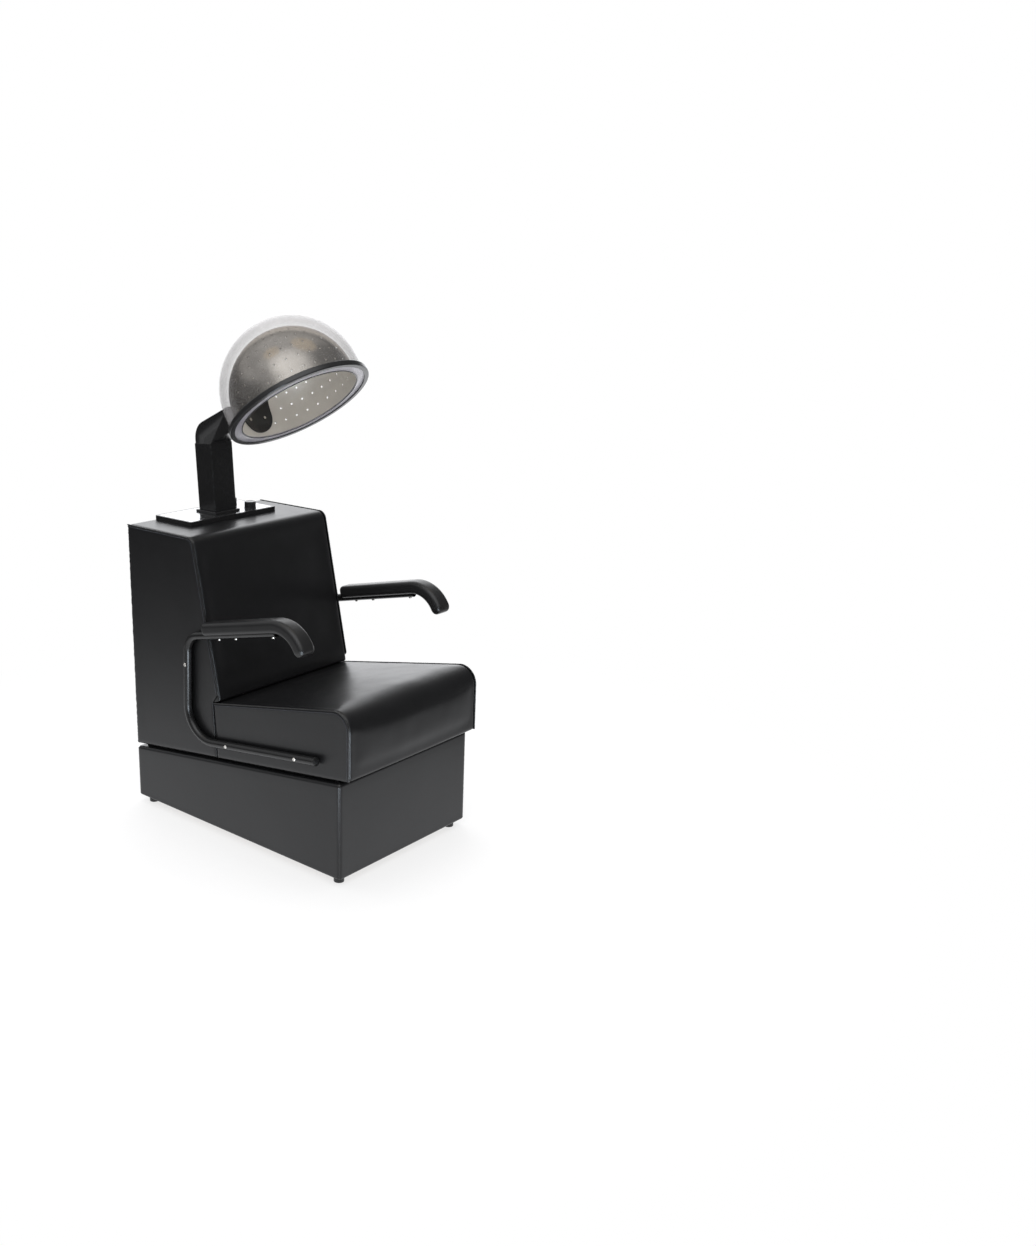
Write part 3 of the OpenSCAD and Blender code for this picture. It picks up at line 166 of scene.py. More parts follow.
# brushed is the stretch of the grain along each axis, for a plate with fine lines
def metalMaterial(name, tint, rough, brushed=None, speckle=400):
    shade = Shade(name)
    place = shade.place()
    if brushed:
        stretch = shade.node("Mapping", {"Vector": place, "Scale": brushed})
        line = shade.grain(1.0, 4.0, 0.7, stretch)
    else:
        line = shade.grain(speckle, 3.0, 0.6, place)
    cloud = shade.grain(20, 3.0, 0.6, place)
    colour = shade.blendColour(
        (line * 0.6 + cloud * 0.4).clamped(), grey(0.72, tint), grey(1.0, tint))
    return shade.finish(
        Base_Color=colour, Metallic=1.0,
        Roughness=(rough - 0.08 + line * 0.12 + cloud * 0.06).clamped(),
        Normal=shade.bump(line, 0.25, 0.00004))


def plywoodMaterial(name):
    shade = Shade(name)
    place = shade.place()
    waves = {"Vector": place, "Scale": 6.0, "Distortion": 7.0, "Detail": 3.0, "Detail Scale": 1.4}
    ring = shade.node("TexWave", waves, wave_type="BANDS", bands_direction="Z")
    pore = shade.grain(160, 3.0, 0.7, place)
    colour = shade.blendColour(
        (ring * 0.75 + pore * 0.3).clamped(), (0.36, 0.23, 0.12, 1), (0.6, 0.43, 0.26, 1))
    return shade.finish(
        Base_Color=colour, Roughness=(0.62 + pore * 0.15).clamped(),
        Normal=shade.bump(pore, 0.4, 0.0002))


domeLook = {
    "bright": (0.44, 0.415, 0.38, 1), "dark": (0.23, 0.21, 0.185, 1), "rough": 0.13, "metal": 0.92,
    "edgeTint": (0.30, 0.28, 0.26, 1), "shadow": (0.03, 0.028, 0.027, 1),
    "neckPoint": (0.0, 0.189, 1.227), "shadowFrom": 0.12, "shadowTo": 0.165,
    "insideBright": (0.86, 0.82, 0.76, 1), "insideDark": (0.46, 0.435, 0.395, 1)}


# metallised smoke acrylic, with painted shade and painted dark reflection: darker and less metallic around the neck
# plate
def smokeMaterial(name, look):
    shade = Shade(name)
    place = shade.place()
    reach = shade.node("VectorMath", {0: place, 1: look["neckPoint"]}, out="Value", operation="DISTANCE")
    sparkle = shade.cells(850, "F1", place)
    fine = shade.grain(1500, 2.0, 0.7, place)
    cloud = shade.grain(7, 4.0, 0.6, place)
    colour = shade.blendColour(
        (cloud * 0.7 + fine * 0.45 - 0.05).clamped(), look["dark"], look["bright"])
    # painted shade: a dark, less metallic patch around the neck plate, in colour and metallic
    paintedShade = shade.ease(reach + cloud * 0.03, look["shadowFrom"], look["shadowTo"], 0.8, 0.0)
    return shade.finish(
        Base_Color=shade.blendColour(paintedShade, colour, look["shadow"]),
        Metallic=look["metal"] - paintedShade, Specular_Tint=look["edgeTint"],
        Roughness=(look["rough"] - 0.04 + sparkle * 0.05 + cloud * 0.06).clamped(),
        Normal=shade.bump(fine * 0.6 + sparkle * 0.4, 0.22, 0.00012))


def insideMaterial(name, look):
    shade = Shade(name)
    place = shade.place()
    fine = shade.grain(1100, 2.0, 0.7, place)
    cloud = shade.grain(9, 3.0, 0.6, place)
    # painted light: the inside is lighter towards -x and darker towards +x
    paintedLight = shade.ease(shade.split(place)[0], 0.16, -0.1)
    colour = shade.blendColour(
        (cloud * 0.4 + fine * 0.2 + paintedLight * 0.4).clamped(), look["insideDark"], look["insideBright"])
    return shade.finish(
        Base_Color=colour, Metallic=0.25,
        Roughness=(0.34 + cloud * 0.14 + fine * 0.05).clamped(),
        Normal=shade.bump(fine, 0.35, 0.0001))


clearLook = {"face": 0.035, "edge": 0.25, "start": 0.34, "full": 0.66,
             "milk": (0.40, 0.39, 0.395, 1), "smear": (0.30, 0.294, 0.294, 1)}


# clear acrylic as a thin veil that thickens towards its outline
def clearMaterial(name, look):
    shade = Shade(name)
    facing = shade.node("LayerWeight", {"Blend": 0.5}, out="Facing")
    waves = {"Vector": shade.place(), "Scale": 3.0, "Distortion": 2.5, "Detail": 2.0}
    streak = shade.node("TexWave", waves, wave_type="RINGS", rings_direction="Z")
    cloud = shade.grain(11, 3.0, 0.5)
    alpha = shade.ease(facing, look["start"], look["full"], look["face"], look["edge"])
    milk = shade.blendColour((streak * 0.35 + cloud * 0.4).clamped(), look["milk"], look["smear"])
    return shade.finish(
        Base_Color=milk, Roughness=(0.03 + cloud * 0.03).clamped(), Specular_IOR_Level=0.05,
        Alpha=(alpha + streak * 0.02).clamped())


def frostMaterial(name):
    shade = Shade(name)
    cloud = shade.grain(40, 3.0, 0.6)
    fine = shade.grain(900, 2.0, 0.6)
    colour = shade.blendColour(cloud, (0.40, 0.39, 0.44, 1), (0.50, 0.49, 0.53, 1))
    return shade.finish(
        Base_Color=colour, Roughness=(0.22 + fine * 0.1).clamped(),
        Alpha=(0.5 + cloud * 0.08).clamped(), Normal=shade.bump(fine, 0.2, 0.00005))


vinyl = vinylMaterial("blackVinyl", vinylLook)
padSkin = coatedMaterial("padSkin", 0.010, 0.36, speckle=1400, depth=0.00012)
weltVinyl = coatedMaterial("weltVinyl", 0.014, 0.22, speckle=420, depth=0.0005)
# the stitch thread is lightened and blued beyond black, a painted highlight for the glints along the seams
darkThreadPaintedGlint = coatedMaterial("darkThreadPaintedGlint", 0.09, 0.25, tint=(0.9, 0.96, 1.15), speckle=900, depth=0.0004)
tubeBlack = coatedMaterial("tubeBlack", 0.008, 0.24)
columnBlack = coatedMaterial("columnBlack", 0.008, 0.25)
plasticBlack = coatedMaterial("plasticBlack", 0.011, 0.28)
rimBlack = coatedMaterial("rimBlack", 0.012, 0.2)
knobBlack = coatedMaterial("knobBlack", 0.012, 0.25)
rubberBlack = coatedMaterial("rubberBlack", 0.014, 0.45)
# black boards: painted shade, so board edges in the seams and recesses read as shadow and not as plywood
boardPaintedShade = coatedMaterial("boardPaintedShade", 0.01, 0.6)
markWhite = coatedMaterial("markWhite", 0.75, 0.4)
micaCard = coatedMaterial("micaCard", 0.6, 0.5, tint=(1, 0.88, 0.62), speckle=120)
nickel = metalMaterial("nickel", (0.86, 0.83, 0.78), 0.25)
zinc = metalMaterial("zinc", (0.62, 0.64, 0.66), 0.36, speckle=90)
brightPlate = metalMaterial("brightPlate", (0.70, 0.70, 0.72), 0.2, brushed=(12, 900, 900))
plywood = plywoodMaterial("plywood")
smoke = smokeMaterial("smokeOutside", domeLook)
smokeInside = insideMaterial("smokeInside", domeLook)
clear = clearMaterial("clearAcrylic", clearLook)
frost = frostMaterial("frostAcrylic")
print("materials made")


# shapes shared by the pieces, in metres

body = {
    "rear": 0.455, "front": -0.455, "halfWidth": 0.278, "top": 0.900, "rearBottom": 0.198,
    "recline": 7.85, "topDepth": 0.294, "lean": 11.8, "creaseZ": 0.424, "slope": 11.2,
    "coverThick": 0.004, "seatPad": 0.075, "seatFrontPad": 0.018, "backPad": 0.050,
    "seatRoll": 0.052, "backRoll": 0.028, "shadowGap": 0.012, "footHeight": 0.025}
tanRecline, tanLean, tanSlope = (math.tan(math.radians(body[k])) for k in ("recline", "lean", "slope"))


def underside(y): return body["rearBottom"] + (body["rear"] - y) * tanRecline
def backFront(z): return body["rear"] - body["topDepth"] - (body["top"] - z) * tanLean


creaseY = backFront(body["creaseZ"])


def seatTop(y): return body["creaseZ"] + (creaseY - y) * tanSlope


def unit(rows):
    return rows / np.linalg.norm(rows, axis=-1, keepdims=True)


# unit vectors to the right of each step along a line in a plane
def rightOf(steps):
    way = unit(steps)
    return np.stack([way[:, 1], -way[:, 0]], 1)


def arcAt(before, corner, after, radius, count=14):
    b, c, a = (np.array(p, float) for p in (before, corner, after))
    u, v = unit(b - c), unit(a - c)
    half = math.acos(np.clip(u @ v, -1, 1)) / 2
    reach = min(radius / math.tan(half), 0.49 * min(np.linalg.norm(b - c), np.linalg.norm(a - c)))
    radius = reach * math.tan(half)
    centre = c + unit(u + v) * (radius / math.sin(half))
    start, end = c + u * reach - centre, c + v * reach - centre
    turn = math.acos(np.clip((start @ end) / radius ** 2, -1, 1))
    points = []
    for i in range(count + 1):
        t = i / count
        points.append(centre + (math.sin((1 - t) * turn) * start + math.sin(t * turn) * end) / math.sin(turn))
    return points


def outlineOf(corners, closed=False):
    points, count = [], len(corners)
    for i, (y, z, radius) in enumerate(corners):
        if radius and (closed or 0 < i < count - 1):
            before, after = corners[i - 1][:2], corners[(i + 1) % count][:2]
            points += arcAt(before, (y, z), after, radius)
        else:
            points.append(np.array((y, z), float))
    return np.array(points)


# the length run so far at each point of a line
def runOf(line):
    return np.concatenate([[0], np.cumsum(np.linalg.norm(np.diff(line, axis=0), axis=1))])


def sampled(line, along, wanted):
    return np.array([np.interp(wanted, along, axis) for axis in line.T]).T


def evenly(points, step, closed=False):
    line = np.vstack([points, points[:1]]) if closed else np.array(points)
    along = runOf(line)
    count = max(2, int(round(along[-1] / step)))
    wanted = np.linspace(0, along[-1], count + (0 if closed else 1), endpoint=not closed)
    return sampled(line, along, wanted)


def rough3(x, y, z, scale, seed=0.0):
    return noise.noise(Vector((x * scale + seed, y * scale - seed, z * scale + 2 * seed)))


def makeMesh(name, points, faces, *materials, smooth=True):
    mesh = bpy.data.meshes.new(name)
    mesh.from_pydata([tuple(map(float, p)) for p in points], [], faces)
    mesh.update()
    for material in materials:
        mesh.materials.append(material)
    if smooth:
        mesh.polygons.foreach_set("use_smooth", [True] * len(mesh.polygons))
    piece = bpy.data.objects.new(name, mesh)
    scene.collection.objects.link(piece)
    return piece


def fixNormals(piece):
    shell = bmesh.new()
    shell.from_mesh(piece.data)
    bmesh.ops.recalc_face_normals(shell, faces=shell.faces)
    shell.to_mesh(piece.data)
    shell.free()
    return piece


# quads between successive rings of points
def bands(rings, sides, start=0):
    faces = []
    for j in range(rings - 1):
        for k in range(sides):
            a, b = start + j * sides + k, start + j * sides + (k + 1) % sides
            faces.append((a, b, b + sides, a + sides))
    return faces


def capped(rings, sides):
    return [tuple(range(sides - 1, -1, -1)), tuple((rings - 1) * sides + k for k in range(sides))]


def settle(piece, bodyName, slot, *replaced, fill=None):
    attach(piece, bodyName)
    if replaced:
        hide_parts(*replaced)


# a padded piece on the sitter's left and its mirror image on the right
def pair(name, points, faces, material, slot, replaced, fill):
    left = fixNormals(makeMesh(name + "Left", points, faces, material))
    points = [(-v.co.x, v.co.y, v.co.z) for v in left.data.vertices]
    faces = [tuple(reversed(p.vertices)) for p in left.data.polygons]
    right = makeMesh(name + "Right", points, faces, material)
    settle(left, "chair", slot, replaced + "_left", fill=fill)
    settle(right, "chair", slot, replaced + "_right", fill=fill)


def sweepTube(path, radius, sides=10, closed=False, crimp=None):
    path = np.array(path, float)
    count = len(path)
    tangent = np.roll(path, -1, 0) - np.roll(path, 1, 0)
    if not closed:
        tangent[0], tangent[-1] = path[1] - path[0], path[-1] - path[-2]
    tangent = unit(tangent)
    side = np.cross(tangent[0], (0.31, 0.2, 0.93))
    points = []
    for i in range(count):
        side = unit(side - tangent[i] * (side @ tangent[i]))
        over = np.cross(tangent[i], side)
        size = radius * (1 + (crimp(i) if crimp else 0))
        for k in range(sides):
            a = 2 * math.pi * k / sides
            points.append(path[i] + size * (math.cos(a) * side + math.sin(a) * over))
    faces = bands(count, sides)
    if closed:
        last = (count - 1) * sides
        faces += [(last + k, last + (k + 1) % sides, (k + 1) % sides, k) for k in range(sides)]
    else:
        faces += capped(count, sides)
    return points, faces


def joinParts(name, parts, *materials):
    points, faces = [], []
    for p, f in parts:
        shift = len(points)
        points += list(p)
        faces += [tuple(i + shift for i in face) for face in f]
    return fixNormals(makeMesh(name, points, faces, *materials))


def circles(profile, sides):
    turns = [2 * math.pi * k / sides for k in range(sides)]
    return [Vector((r * math.cos(a), r * math.sin(a), z)) for r, z in profile for a in turns]


def lathe(profile, sides):
    return circles(profile, sides), bands(len(profile), sides) + capped(len(profile), sides)


# cushions: a closed skin over the pad, blown up by cloth pressure

cushionLook = {
    "cloth": {"quality": 5, "mass": 0.3, "tension_stiffness": 12, "compression_stiffness": 12,
              "shear_stiffness": 4, "bending_stiffness": 0.6, "uniform_pressure_force": 4.0},
    "step": 0.009, "cap": 0.005, "frames": 20, "drawnIn": 0.009, "seamPucker": 0.0007,
    "slowWave": 0.0011, "quickWave": 0.0005, "puckerReach": 0.016,
    "endSteps": (0.0, 0.0012, 0.0028, 0.005, 0.0075, 0.0105, 0.015, 0.021), "endWide": 0.028}


def cushionShell(outer, crown, inner, half, look):
    count = len(outer)
    outward = rightOf(np.gradient(outer, axis=0))
    edge = look["drawnIn"]
    flat = half - look["endWide"]
    stations = [half - d for d in look["endSteps"]] + list(np.linspace(0, flat, int(flat / look["step"])))
    across = sorted(set([-x for x in stations] + stations))
    points = []
    for x in across:
        over = max(0.0, abs(x) - (half - edge))
        drop = edge - math.sqrt(max(0.0, edge ** 2 - over ** 2))
        swell = 1 - (x / half) ** 2
        skin = outer + outward * (crown * swell - drop)[:, None]
        points += [(x, y, z) for y, z in skin]
        points += [(x, y, z) for y, z in inner[::-1]]
    ring = 2 * count
    faces = bands(len(across), ring)
    last = (len(across) - 1) * ring
    for i in range(count - 1):
        faces.append((i, ring - 1 - i, ring - 2 - i, i + 1))
        faces.append((last + i, last + i + 1, last + ring - 2 - i, last + ring - 1 - i))
    return points, faces, across, ring


def swellByCloth(piece, pinned, look):
    group = piece.vertex_groups.new(name="held")
    for i, weight in enumerate(pinned):
        if weight > 0:
            group.add([i], float(weight), "REPLACE")
    rest = np.array([v.co for v in piece.data.vertices])
    cloth = piece.modifiers.new("swell", "CLOTH")
    for key, value in look["cloth"].items():
        setattr(cloth.settings, key, value)
    cloth.settings.use_pressure = True
    cloth.settings.effector_weights.gravity = 0
    cloth.settings.vertex_group_mass = "held"
    cloth.collision_settings.use_collision = False
    cloth.point_cache.frame_start, cloth.point_cache.frame_end = 1, look["frames"]
    for step in range(1, look["frames"] + 1):
        scene.frame_set(step)
    grown = piece.evaluated_get(bpy.context.evaluated_depsgraph_get())
    moved = np.array([v.co for v in grown.data.vertices]) - rest
    piece.modifiers.remove(cloth)
    piece.vertex_groups.remove(group)
    scene.frame_set(1)
    length = np.linalg.norm(moved, axis=1)
    cap = look["cap"]
    factor = np.where(length > 1e-9, cap * np.tanh(length / cap) / np.maximum(length, 1e-9), 0)
    piece.data.vertices.foreach_set("co", (rest + moved * factor[:, None]).ravel())
    piece.data.update()


def wrapCushion(name, outer, crown, inner, half, free, look, replaced, fill):
    points, faces, across, ring = cushionShell(outer, crown, inner, half, look)
    piece = fixNormals(makeMesh(name, points, faces, vinyl))
    count = len(outer)
    pinned = np.ones(len(points))
    for j, x in enumerate(across):
        side = np.clip((half - abs(x) - 0.004) / 0.03, 0, 1)
        for i in range(count):
            pinned[j * ring + i] = 1 - side * free[i]
    swellByCloth(piece, pinned, look)
    # puckers that run in from the side seams, and slow waves in the stretched vinyl
    co = np.array([v.co for v in piece.data.vertices])
    for j, x in enumerate(across):
        inset = half - abs(x)
        for i in range(1, count - 1):
            k = j * ring + i
            y, z = outer[i]
            tangent = unit(outer[i + 1] - outer[i - 1])
            away = np.array([0, tangent[1], -tangent[0]])
            wave = rough3(x, y, z, 9, 3.1) * look["slowWave"] + rough3(x, y, z, 21, 7.7) * look["quickWave"]
            wave *= min(1, inset / 0.03) * free[i]
            fold = math.exp(-inset / look["puckerReach"]) * (0.5 + rough3(x * 0.2, y, z, 60, 1.3)) * look["seamPucker"]
            co[k] += away * (wave - fold)
    piece.data.vertices.foreach_set("co", co.ravel())
    piece.data.update()
    smooth = piece.modifiers.new("smooth", "SUBSURF")
    smooth.levels = smooth.render_levels = 1
    settle(piece, "chair", "padded_vinyl", *replaced, fill=fill)


seam = {"gap": 0.0003, "seatCrown": 0.005, "seatBulge": 0.003, "backCrown": 0.005}
cushionHalf = body["halfWidth"] - body["coverThick"] - seam["gap"]


# y where a line parallel to the back, off deep, meets a line drop below the seat's top
def meetBack(off, drop):
    return ((body["rear"] - body["topDepth"] + off
             - tanLean * (body["top"] - body["creaseZ"] - creaseY * tanSlope + drop))
            / (1 + tanLean * tanSlope))


def seatCushion():
    face = body["front"] + body["coverThick"]
    rearY = meetBack(body["backPad"], 0) - seam["gap"]
    outer = outlineOf([
        (rearY, seatTop(rearY), 0), (creaseY, body["creaseZ"], 0),
        (face, seatTop(face), body["seatRoll"]), (face, underside(face), 0)])
    outer = evenly(outer, cushionLook["step"])
    count = len(outer)
    top = outer[:, 1] > seatTop(outer[:, 0]) - 0.0008
    t = np.clip((creaseY - outer[:, 0]) / (creaseY - face - body["seatRoll"]), 0, 1)
    crown = np.where(top, seam["seatCrown"] * np.sin(math.pi * t ** 1.2), 0)
    down = np.clip((seatTop(face) - outer[:, 1]) / body["seatRoll"], 0, 1)
    crown = np.where(top, crown, seam["seatBulge"] * down)
    plane = face + body["seatFrontPad"] - seam["gap"]
    innerLow = meetBack(body["backPad"], body["seatPad"]) - seam["gap"]
    under = lambda y: seatTop(y) - body["seatPad"] + seam["gap"]
    bend = int(count * 0.86)
    inner = [np.array((y, under(y))) for y in np.linspace(innerLow, plane, bend)]
    inner += [np.array((plane, z)) for z in np.linspace(under(plane), underside(plane), count - bend + 1)[1:]]
    free = np.clip((creaseY - 0.02 - outer[:, 0]) / 0.05, 0, 1)
    free *= np.clip((outer[:, 1] - underside(face)) / 0.05, 0, 1)
    wrapCushion("seatCushion", outer, crown, np.array(inner), cushionHalf, free, cushionLook,
                ["seat_cushion"], 0.75)


def backCushion():
    footY = meetBack(0, -2 * seam["gap"])
    foot = (footY, seatTop(footY) + 2 * seam["gap"])
    top, rear = body["top"], body["rear"]
    outer = outlineOf([
        (rear, top - body["coverThick"], 0), (rear, top, 0.003), (backFront(top), top, body["backRoll"]), (*foot, 0)])
    outer = evenly(outer, cushionLook["step"])
    count = len(outer)
    face = np.clip((top - body["backRoll"] - outer[:, 1]) / (top - body["backRoll"] - foot[1]), 0, 1)
    crown = seam["backCrown"] * np.sin(math.pi * face ** 0.9)
    heelY = meetBack(body["backPad"], -2 * seam["gap"]) - seam["gap"]
    deep = top - body["coverThick"]
    topRear = backFront(top) + body["backPad"] - seam["gap"]
    flat = int(np.searchsorted(runOf(outer), 0.004 + rear - topRear))
    inner = [np.array((y, deep)) for y in np.linspace(rear - 0.0005, topRear, flat)]
    inner += [np.array((topRear + (heelY - topRear) * t, deep + (seatTop(heelY) + 2 * seam["gap"] - deep) * t))
              for t in np.linspace(0, 1, count - flat + 1)[1:]]
    free = np.clip((top - 0.012 - outer[:, 1]) / 0.05, 0, 1) * np.clip((outer[:, 1] - foot[1] - 0.01) / 0.05, 0, 1)
    wrapCushion("backCushion", outer, crown, np.array(inner), cushionHalf, free, cushionLook,
                ["back_cushion", "top_cover"], 0.7)


seatCushion()
print("seat cushion made")
backCushion()
print("back cushion made")


# side panels: padded vinyl covers with rolled edges

panelLook = {
    "roll": 0.0036, "rollWide": 0.010, "dish": 0.0004, "dishWide": 0.04, "pucker": 0.0005, "puckerPitch": 0.011,
    "puckerReach": 0.008, "groove": 0.003, "seamLean": 3.8, "seamBack": 0.026, "notchRise": 0.026,
    "notchRadius": 0.010}


# a Coons patch: a grid whose edges follow the four lines
def coons(bottom, top, rear, front, nu, nv):
    def pick(line, t):
        along = runOf(line)
        return sampled(line, along, t * along[-1])

    def stations(n):
        t = np.linspace(0, 1, n)
        return 0.45 * t + 0.55 * (1 - np.cos(math.pi * t)) / 2
    u, v = stations(nu), stations(nv)
    b, t, r, f = pick(bottom, u), pick(top, u), pick(rear, v), pick(front, v)
    u, v = u[None, :, None], v[:, None, None]
    straight = (1 - v) * b[None] + v * t[None] + (1 - u) * r[:, None] + u * f[:, None]
    corner = (1 - u) * (1 - v) * b[0] + u * (1 - v) * b[-1] + (1 - u) * v * t[0] + u * v * t[-1]
    return straight - corner


def panel(name, bottom, top, rear, front, nu, nv, replaced, look):
    grid = coons(bottom, top, rear, front, nu, nv)
    outlineStep = 0.002
    outline = evenly(np.vstack([bottom, front, top[::-1], rear[::-1]]), outlineStep)
    flat = grid.reshape(-1, 2)
    gaps = [np.linalg.norm(outline - p, axis=1) for p in flat]
    far, along = [gap.min() for gap in gaps], [gap.argmin() * outlineStep for gap in gaps]
    outX, inX = body["halfWidth"], body["halfWidth"] - body["coverThick"]
    points = []
    for (y, z), d, s in zip(flat, far, along):
        short = max(0.0, 1 - d / look["rollWide"])
        x = outX - look["roll"] * (1 - math.sqrt(max(0.0, 1 - short ** 2)))
        x -= look["dish"] * min(1, d / look["dishWide"]) * (1 + rough3(0, y, z, 8, 5.5))
        x -= look["pucker"] * math.exp(-d / look["puckerReach"]) * (1 + math.sin(2 * math.pi * s / look["puckerPitch"]
                                                                   + 2 * rough3(0, y, z, 30)))
        points.append((x if d > 1e-5 else inX + 0.0001, y, z))
    back = {}
    for k, (y, z) in enumerate(flat):
        if k % nu in (0, nu - 1) or k // nu in (0, nv - 1):
            back[k] = k
        else:
            back[k] = len(points)
            points.append((inX + 0.0001, y, z))
    faces = []
    for j in range(nv - 1):
        for i in range(nu - 1):
            a, b, c, d = j * nu + i, j * nu + i + 1, (j + 1) * nu + i + 1, (j + 1) * nu + i
            faces.append((a, b, c, d))
            faces.append((back[d], back[c], back[b], back[a]))
    pair(name, points, faces, vinyl, "vinyl", replaced, 0.5)


face = body["front"] + body["coverThick"]
seamTopY = creaseY + panelLook["seamBack"]
seamFootY = seamTopY - (body["creaseZ"] - underside(seamTopY)) * math.tan(math.radians(panelLook["seamLean"]))
notchZ = body["creaseZ"] + panelLook["notchRise"]

seamTop, seamFoot = (seamTopY, seatTop(seamTopY)), (seamFootY, underside(seamFootY))
seatToe = (face, underside(face))
rollArc = arcAt(seamTop, (face, seatTop(face)), seatToe, body["seatRoll"], 20)
seatTopEdge = np.array([seamTop] + rollArc[:11])
seatFrontEdge = np.array([seatToe] + rollArc[10:][::-1])
seatRearEdge, seatBottomEdge = np.array([seamFoot, seamTop]), np.array([seamFoot, seatToe])
panel("seatSide", seatBottomEdge, seatTopEdge, seatRearEdge, seatFrontEdge, 90, 46, "seat_side", panelLook)

footY, heelY = seamFootY + panelLook["groove"], seamTopY + panelLook["groove"]
heel, foot, notch = (heelY, seatTop(heelY)), (footY, underside(footY)), (backFront(notchZ), notchZ)
rearTop, rearFoot = (body["rear"], body["top"]), (body["rear"], underside(body["rear"]))
topArc = arcAt(rearTop, (backFront(body["top"]), body["top"]), notch, body["backRoll"], 20)
notchArc = arcAt(heel, notch, topArc[-1], panelLook["notchRadius"], 8)
backFrontEdge = np.array([foot, heel] + notchArc + topArc[10:][::-1])
backTopEdge = np.array([rearTop] + topArc[:11])
backRearEdge, backBottomEdge = np.array([rearFoot, rearTop]), np.array([rearFoot, foot])
panel("backSide", backBottomEdge, backTopEdge, backRearEdge, backFrontEdge, 66, 100, "back_side", panelLook)
print("side panels made")


# plinth cover: vinyl drawn over the box, with a rolled top edge and a seam on each corner

plinthLook = {
    "halfWidth": 0.280, "front": -0.419, "rear": 0.455, "corner": 0.012, "roll": 0.009, "over": 0.0016,
    "pucker": 0.0004, "puckerPitch": 0.011, "dish": 0.0005, "step": 0.011, "fineStep": 0.002, "cornerZone": 0.03,
    "hem": [(0.020, 0.0), (0.004, 0.0), (0.0012, 0.0004), (0.0, 0.003)],
    "lip": [(0.016, 0.0), (0.0225, 0.0), (0.0235, 0.002)], "skin": 0.0012, "weltFoot": 0.027, "weltRadius": 0.0016}


def plinthRing(look):
    w, f, r, c = look["halfWidth"], look["front"], look["rear"], look["corner"]
    corners = [(w, f, c), (w, r, c), (-w, r, c), (-w, f, c)]

    def nearest(p):
        return min(np.linalg.norm(p - np.array(q[:2])) for q in corners)

    outline = outlineOf(corners, closed=True)
    ring = [p for p in evenly(outline, look["step"], closed=True) if nearest(p) > look["cornerZone"]]
    ring += [p for p in evenly(outline, look["fineStep"], closed=True) if nearest(p) <= look["cornerZone"]]
    ring = np.array(ring)
    return ring[np.argsort([math.atan2(p[1] - (f + r) / 2, p[0]) for p in ring])]


def plinthCover(look):
    w, f, r = look["halfWidth"], look["front"], look["rear"]
    line = plinthRing(look)
    outward = rightOf(np.roll(line, -1, 0) - np.roll(line, 1, 0))
    if (outward[0] @ line[0]) < 0:
        outward = -outward
    pairs = list(zip(line, outward))
    low, hem = body["footHeight"], body["footHeight"] + 0.004

    def topAt(p):
        return underside(p[1]) - body["shadowGap"]

    def row(inset, height):
        return [(p[0] - o[0] * inset, p[1] - o[1] * inset, height(p)) for p, o in pairs]

    rows = [row(inset, lambda p: low + up) for inset, up in look["hem"]]
    for t in np.linspace(0.012, 0.88, 18):
        course = []
        for p, o in pairs:
            z = hem + (topAt(p) - look["roll"] - hem) * t
            near = min(abs(abs(p[0]) - w), 1) if abs(o[1]) > 0.7 else min(abs(p[1] - f), abs(p[1] - r))
            dent = look["dish"] * (1 + rough3(p[0], p[1], z, 7, 2.2)) * min(1, near / 0.05)
            dent += look["pucker"] * math.exp(-near / 0.01) * (1 + math.sin(z * 2 * math.pi / look["puckerPitch"]))
            course.append((p[0] - o[0] * dent, p[1] - o[1] * dent, z))
        rows.append(course)
    for a in np.linspace(0, 90, 7):
        turn = math.radians(a)
        inset = look["roll"] * (1 - math.cos(turn)) + 0.0004 * (1 - a / 90)
        fall = look["over"] - (look["roll"] + look["over"]) * (1 - math.sin(turn))
        rows.append(row(inset, lambda p: topAt(p) + fall))
    for inset, drop in look["lip"]:
        rows.append(row(inset, lambda p: topAt(p) + look["over"] - drop))
    points = [p for course in rows for p in course]
    piece = fixNormals(makeMesh("plinthCover", points, bands(len(rows), len(line)), vinyl))
    thick = piece.modifiers.new("thickness", "SOLIDIFY")
    thick.thickness, thick.offset = look["skin"], -1
    settle(piece, "chair", "vinyl", "plinth_cover", fill=0.4)


plinthCover(plinthLook)
print("plinth cover made")


# welts and stitches along the seams

seamLook = {
    "weltRadius": 0.0018, "weltInset": 0.0020, "weltSunk": 0.0012, "stitchLength": 0.0044, "stitchPitch": 0.0064,
    "stitchRadius": 0.0005, "stitchSunk": 0.0004, "seatRow": 0.0075, "backRow": 0.0065}


def inset2d(line, amount):
    return line - rightOf(np.gradient(line, axis=0)) * amount


def weltRun(line, x, look):
    path = [(x, y, z) for y, z in evenly(line, 0.003)]
    return sweepTube(path, look["weltRadius"], 8, crimp=lambda i: 0.10 * math.sin(i * 2.1) + 0.05 * math.sin(i * 0.7))


def stitchRun(path, lift, look):
    parts = []
    path = np.array(path)
    spaced = evenly(path, look["stitchPitch"])
    for k in range(len(spaced) - 1):
        a, b = spaced[k], spaced[k + 1]
        way = unit(b - a)
        mid = (a + b) / 2
        half = look["stitchLength"] / 2
        bow = [mid + way * half * t + np.array(lift) * (look["stitchRadius"] * (1.2 - 2.2 * t * t))
               for t in (-1, -0.7, -0.3, 0, 0.3, 0.7, 1)]
        parts.append(sweepTube(bow, look["stitchRadius"], 6))
    return parts


